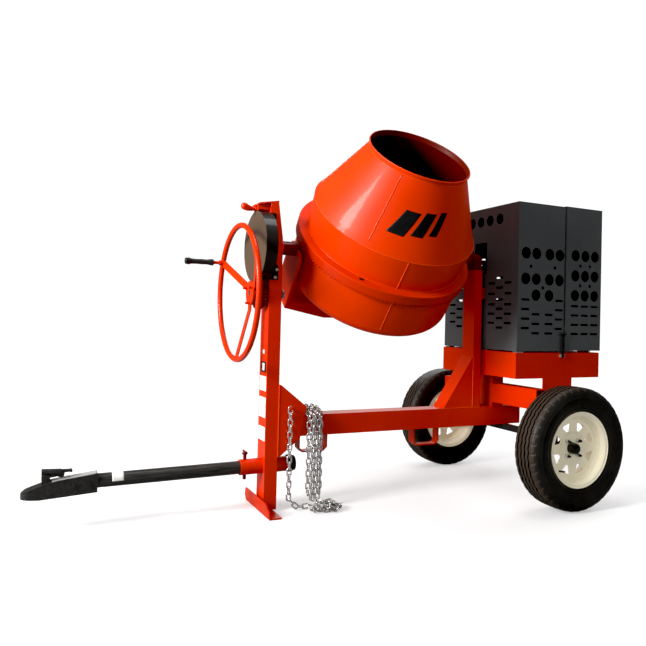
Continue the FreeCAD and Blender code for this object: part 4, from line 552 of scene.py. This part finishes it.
def bead(name, path, radius, body, material, closed=False, sides=10, ripple=0.0, pitch=0.004):
    """Round bead along a path of points, rippled like a weld when asked; an open one has flat ends."""
    verts = []
    travelled = 0.0
    count = len(path)
    for i, point in enumerate(path):
        before = path[i - 1] if i or closed else point
        after = path[(i + 1) % count] if i + 1 < count or closed else point
        along = (after - before).normalized()
        side = along.orthogonal().normalized()
        if abs(along.z) < 0.95:
            side = along.cross(Vector((0, 0, 1))).normalized()
        up = along.cross(side)
        travelled += (point - before).length
        r = radius * (1 + ripple * math.sin(2 * math.pi * travelled / pitch))
        verts += [point + side * r * math.cos(a) + up * r * math.sin(a) for a in turns(sides)]
    faces = grid_faces(count, sides) if closed else capped_faces(count, sides)
    piece(name, verts, faces, body, material)


def rounded_plate(name, centre, across, up, size, depth, body, material, corner):
    """Thin plate with round corners lying on a face; across and up are unit vectors in the face."""
    width, height = size
    sunk = 0.0004
    normal = across.cross(up)
    outline = []
    for cx, cy, start in ((1, 1, 0), (-1, 1, 90), (-1, -1, 180), (1, -1, 270)):
        for k in range(5):
            a = math.radians(start + 22.5 * k)
            outline.append((cx * (width / 2 - corner) + corner * math.cos(a),
                            cy * (height / 2 - corner) + corner * math.sin(a)))
    n = len(outline)
    front = [centre + across * x + up * y + normal * depth for x, y in outline]
    back = [centre + across * x + up * y - normal * sunk for x, y in outline]
    faces = two_sided([tuple(range(n))], list(range(n)), n)
    piece(name, front + back, faces, body, material, smooth=False)


# ---------------------------------------------------------------- drum
def drum_welds():
    """Weld beads: one seam along each sheet and one round each joint between sheets."""
    seams = (("weld_cone", -133.5, 0.268, 0.552), ("weld_belly", -104.5, 0.088, 0.238),
             ("weld_bowl", -105.0, -0.145, 0.024))
    joints = (("weld_shoulder", 0.2425, 0.4185), ("weld_ledge", 0.0862, 0.4112),
              ("weld_collar", 0.556, 0.2462))
    for name, degrees, low, high in seams:
        steps = 90
        heights = [low + (high - low) * k / steps for k in range(steps + 1)]
        path = [DRUM @ polar(wall_radius(s) + 0.0002, math.radians(degrees), s) for s in heights]
        bead(name, path, 0.0022, "drum", HIGHLIGHTED_WELD, ripple=0.16, pitch=0.0065)
    for name, s, r in joints:
        path = [DRUM @ polar(r, angle, s) for angle in turns(720)]
        bead(name, path, 0.0020, "drum", HIGHLIGHTED_WELD, closed=True, sides=8, ripple=0.14,
             pitch=0.0105)


def drum_stripes():
    """Three plain slanted stripes on the cone, as thin curved plates."""
    rows, columns = 22, 14
    slant = 9.0
    lift, sunk = 0.0008, -0.0006
    for index, (first, last) in enumerate(((-126.0, -113.0), (-108.5, -99.0), (-94.5, -88.0))):
        low, high = 0.332 + 0.012 * index, 0.436 + 0.008 * index
        verts = []
        for depth in (lift, sunk):
            for i in range(rows):
                s = low + (high - low) * i / (rows - 1)
                for j in range(columns):
                    turn = first + (last - first) * j / (columns - 1) + slant * i / (rows - 1)
                    verts.append(DRUM @ polar(wall_radius(s) + depth, math.radians(turn), s))
        name = "drum_stripe_%d" % (index + 1)
        piece(name, verts, sheet_faces(rows, columns), "drum", LABEL_BLACK)


def ledge_slot_shade_plate():
    """Small black thin plate in the flange beside the belly seam: painted shade for the dark inside of a
    slot.
    """
    centre, width = math.radians(-128.0), math.radians(3.0)
    columns = 7
    verts = []
    for lift in (0.0006, -0.0008):
        for r in (0.419, 0.436):
            verts += [DRUM @ polar(r, centre + width * (k / (columns - 1) - 0.5), 0.085 + lift)
                      for k in range(columns)]
    piece("flange_slot_shade", verts, sheet_faces(2, columns), "drum", LABEL_BLACK, smooth=False)


# ---------------------------------------------------------------- wheels
# half outlines of the tyre (radius, distance from its middle plane): from the bead to the shoulder, and
# round the hollow inside
TYRE_WALL = ((0.1815, 0.0612), (0.190, 0.0660), (0.197, 0.0700), (0.2005, 0.0722), (0.2025, 0.0738),
             (0.206, 0.0738), (0.208, 0.0742), (0.224, 0.0792), (0.242, 0.0815), (0.256, 0.0812),
             (0.2585, 0.0820), (0.2615, 0.0820), (0.264, 0.0805), (0.276, 0.0775), (0.288, 0.0712),
             (0.2955, 0.0650), (0.3005, 0.0592), (0.3030, 0.0545))
TYRE_INSIDE = ((0.166, 0.054), (0.163, 0.040), (0.170, 0.036), (0.210, 0.058), (0.250, 0.068),
               (0.283, 0.052))
TYRE_ROOF = (0.286, 0.0)
GROOVES = (0.036, 0.012, -0.012, -0.036)
GROOVE_DEPTH = 0.0085
CROWN_R = 0.3050
CROWN_FALL = 0.6                   # the crown drops by this times its squared distance from the middle
ZIGZAGS = 42
ZIGZAG_REACH = 0.0026
SHOULDER_BAND = (0.294, 0.3035)    # radii that the shoulder's notches cut
NOTCH_DEPTH = 0.0022
NOTCH_SHARE = 0.13


def mirrored(points):
    return [(r, -w) for r, w in points]


def tyre_profile():
    """Closed cross-section of the tyre as (radius, offset, 1 where it follows the zigzag)."""
    tread = []
    for centre in GROOVES:
        crown = CROWN_R - CROWN_FALL * centre * centre
        floor_r = crown - GROOVE_DEPTH
        tread += [(crown, centre + 0.0046, 1), (floor_r, centre + 0.0034, 1),
                  (floor_r, centre - 0.0034, 1), (crown, centre - 0.0046, 1)]
    far_side = mirrored(reversed(TYRE_WALL)) + mirrored(TYRE_INSIDE) + [TYRE_ROOF]
    far_side += reversed(TYRE_INSIDE)
    return [(r, w, 0) for r, w in TYRE_WALL] + tread + [(r, w, 0) for r, w in far_side]


def tyre(node, side, body):
    """Ribbed trailer tyre: four zigzag grooves, notched shoulders and raised rings on the walls."""
    steps = 336
    profile = tyre_profile()
    band_low, band_high = SHOULDER_BAND
    verts = []
    for k, angle in enumerate(turns(steps)):
        phase = (k * ZIGZAGS / steps) % 1.0
        zigzag = (abs(phase - 0.5) * 4 - 1) * ZIGZAG_REACH
        notch = NOTCH_DEPTH if phase < NOTCH_SHARE else 0.0
        for r, w, moves in profile:
            cut = notch if band_low < r < band_high else 0.0
            p = polar(r - cut, angle, 0)
            y = side * HALF_TRACK + side * (w + zigzag * moves)
            verts.append(Vector((AXLE_X + p.x, y, AXLE_Z + p.y)))
    faces = grid_faces(steps, len(profile))
    piece(node + "_ribbed", verts, faces, body, TYRE, smooth=False, replaces=(node,))


def valve_stems():
    """Rubber stems that stand out of the rims, leaning a little towards the hub."""
    angle = math.radians(229)
    steps = 8
    for name, side in (("right", -1), ("left", 1)):
        path = []
        for k in range(steps + 1):
            t = k / steps
            foot = polar(0.1405 - 0.006 * t, angle, 0)
            y = side * (HALF_TRACK + 0.020 + 0.034 * t)
            path.append(Vector((AXLE_X + foot.x, y, AXLE_Z + foot.y)))
        bead("valve_stem_" + name, path, 0.0042, "wheel_" + name, RUBBER)


# ---------------------------------------------------------------- labels
# blank labels on the post: low and high edge, right and left edge, height above the post, material
POST_LABELS = (
    (0.655, 0.705, -0.036, 0.032, 0.0008, LABEL_BLACK),
    (0.662, 0.698, -0.020, 0.014, 0.0014, LABEL_WHITE),
    (0.566, 0.636, -0.046, 0.046, 0.0008, LABEL_WHITE),
    (0.440, 0.536, -0.046, 0.046, 0.0008, LABEL_WHITE),
    (0.330, 0.396, -0.046, 0.046, 0.0008, LABEL_WHITE),
    (0.742, 0.762, -0.012, 0.012, 0.0008, LABEL_WHITE),
)


def post_labels():
    across, up = Vector((0, -1, 0)), Vector((0, 0, 1))
    for index, (z0, z1, y0, y1, lift, material) in enumerate(POST_LABELS):
        centre = Vector((POST_FRONT_X, (y0 + y1) / 2, (z0 + z1) / 2))
        rounded_plate("post_label_%d" % (index + 1), centre, across, up, (y1 - y0, z1 - z0), lift,
                      "chassis", material, corner=0.003)


def drawbar_label():
    """White band wrapped round the upper front of the drawbar tube."""
    rows, columns = 9, 24
    front, length = -0.708, 0.048
    first, sweep = 186, 92
    verts = []
    for lift in (0.0006, -0.0004):
        r = TUBE_R + lift
        for i in range(rows):
            x = front + length * i / (rows - 1)
            axis_z = TUBE_AXIS_Z + x * TUBE_DROOP
            for j in range(columns):
                a = math.radians(first - sweep * j / (columns - 1))
                verts.append(Vector((x, r * math.cos(a), axis_z + r * math.sin(a))))
    piece("drawbar_label", verts, sheet_faces(rows, columns), "chassis", LABEL_WHITE)


# ---------------------------------------------------------------- frame, cover and coupler
def frame_welds():
    """Fillet weld beads where the gussets and the pedestal meet the post and the beam."""
    gusset_x, gusset_y = 0.0320, BEAM_HALF + 0.0062
    pedestal_y = 0.0502
    runs = (
        ("weld_gusset_right", (gusset_x, -gusset_y, 0.255), (gusset_x, -gusset_y, 0.598)),
        ("weld_gusset_left", (gusset_x, gusset_y, 0.255), (gusset_x, gusset_y, 0.598)),
        ("weld_pedestal_right", (0.978, -pedestal_y, BEAM_TOP), (1.218, -pedestal_y, BEAM_TOP)),
        ("weld_pedestal_left", (0.978, pedestal_y, BEAM_TOP), (1.218, pedestal_y, BEAM_TOP)),
        ("weld_brace_right", (1.168, -pedestal_y, 0.452), (1.168, -pedestal_y, 0.726)),
    )
    for name, start, end in runs:
        a, b = Vector(start), Vector(end)
        steps = max(20, int((b - a).length / 0.0016))
        path = [a.lerp(b, k / steps) for k in range(steps + 1)]
        bead(name, path, 0.0024, "chassis", HIGHLIGHTED_WELD, ripple=0.15, pitch=0.0065)


def coupler_trim():
    """Bright plated strip along the top of the coupler."""
    a, b = Vector((-0.945, 0, 0.2145)), Vector((-0.770, 0, 0.2366))
    along = (b - a).normalized()
    rounded_plate("coupler_strip", (a + b) / 2, Vector((0, 1, 0)), -along, (0.056, (b - a).length), 0.0016,
                  "chassis", LIGHT_STEEL, corner=0.006)


def cover_seal():
    """Black rubber strip round the housing just ahead of the cover's front edge."""
    x0, x1 = 1.5555, 1.5622
    low, side, top = 0.778, 0.3209, 1.5539
    thick = 0.0029
    wide, high = side + thick, top + thick
    outer = [(wide, low), (wide, high), (-wide, high), (-wide, low)]
    inner = [(side, low), (side, top), (-side, top), (-side, low)]
    outline = outer + inner[::-1]
    n = len(outline)
    verts = [Vector((x, y, z)) for x in (x0, x1) for y, z in outline]
    arch = [(0, 1, 6, 7), (1, 2, 5, 6), (2, 3, 4, 5)]
    faces = two_sided(arch, list(range(n)), n)
    piece("cover_seal", verts, faces, "chassis", RUBBER, smooth=False)


def grip_cap():
    """Domed plug over the front end of the crank grip's rod."""
    centre = Vector((GRIP_FRONT_X, GRIP_PLACE[1], GRIP_PLACE[2]))
    profile = ((0.0, 0.0135), (0.0045, 0.0165), (0.0095, 0.0165), (0.0130, 0.0125), (0.0142, 0.0050))
    sides = 32
    verts = [centre + Vector((-x, r * math.cos(a), r * math.sin(a)))
             for x, r in profile for a in turns(sides)]
    piece("grip_cap", verts, capped_faces(len(profile), sides), "handwheel", PLASTIC)


# ---------------------------------------------------------------- chains
LINK_HALF_WIDTH, LINK_STRAIGHT, LINK_WIRE_R = 0.010, 0.0085, 0.0035
LINK_PITCH = 0.0292
LINK_REACH = 0.0185                # from the end of a strand to the middle of its next link
HEAP_R = 0.058
HEAP_HEIGHT = 0.034
HEAP_STRETCH = (1.35, 0.75)
HEAP_PLACE = (0.262, -0.128, 0.016)


def link_into(verts, faces, centre, along, across):
    """Add one chain link to a mesh under construction: long along one unit vector, wide along the other."""
    normal = along.cross(across)
    sides, bend = 8, 8
    start = len(verts)
    for end in (1, -1):
        for k in range(bend + 1):
            a = math.pi * k / bend
            out = (across * math.cos(a) + along * math.sin(a)) * end
            middle = centre + along * (LINK_STRAIGHT * end) + out * LINK_HALF_WIDTH
            verts += [middle + out * (LINK_WIRE_R * math.cos(b)) + normal * (LINK_WIRE_R * math.sin(b))
                      for b in turns(sides)]
    faces += [tuple(start + v for v in face) for face in grid_faces(2 * (bend + 1), sides)]


def spare_strands():
    """Two more strands of chain thrown over the three that hang on the beam."""
    crosswise = Vector((1, 0, 0))
    down, lean, flat = Vector((0, 0, -1)), Vector((0, -1, -1)).normalized(), Vector((0, -1, 0))
    for name, x, hanging in (("chain_strand_1", 0.200, 14), ("chain_strand_2", 0.231, 15)):
        start = Vector((x, 0.0252, 0.4804))
        verts, faces = [], []
        for i, way in enumerate([flat] * 3 + [lean] + [down] * hanging):
            across = crosswise if i % 2 else crosswise.cross(way)
            link_into(verts, faces, start + way * LINK_REACH, way, across)
            start = start + way * LINK_PITCH
        piece(name, verts, faces, "chassis", ZINC)


def chain_heap():
    """Loose end of the chain heaped on the ground beside the laid rows.

    The links stand on a spiral of equal steps, and sines of their number tip and roll them unevenly.
    """
    verts, faces = [], []
    count = 26
    step = math.radians(137.5)
    for k in range(count):
        reach = HEAP_R * math.sqrt((k + 0.5) / count)
        spot = polar(reach, step * k, 0)
        rise = HEAP_HEIGHT * (1 - reach / HEAP_R)
        place = Vector((HEAP_PLACE[0] + HEAP_STRETCH[0] * spot.x, HEAP_PLACE[1] + HEAP_STRETCH[1] * spot.y,
                        HEAP_PLACE[2] + rise))
        along = polar(1, step * k * 1.7, 0.30 * math.sin(2.1 * k)).normalized()
        roll = Matrix.Rotation(math.radians(35 + 50 * math.sin(3.3 * k)), 3, along)
        across = roll @ along.cross(Vector((0, 0, 1))).normalized()
        link_into(verts, faces, place, along, across)
    piece("chain_heap", verts, faces, "chassis", ZINC)


dress_nodes()
drum_welds()
drum_stripes()
tyre("tyre_right", -1, "wheel_right")
tyre("tyre_left", 1, "wheel_left")
post_labels()
drawbar_label()
valve_stems()
frame_welds()
ledge_slot_shade_plate()
coupler_trim()
cover_seal()
grip_cap()
spare_strands()
chain_heap()
camera()
studio()
floor()
look()
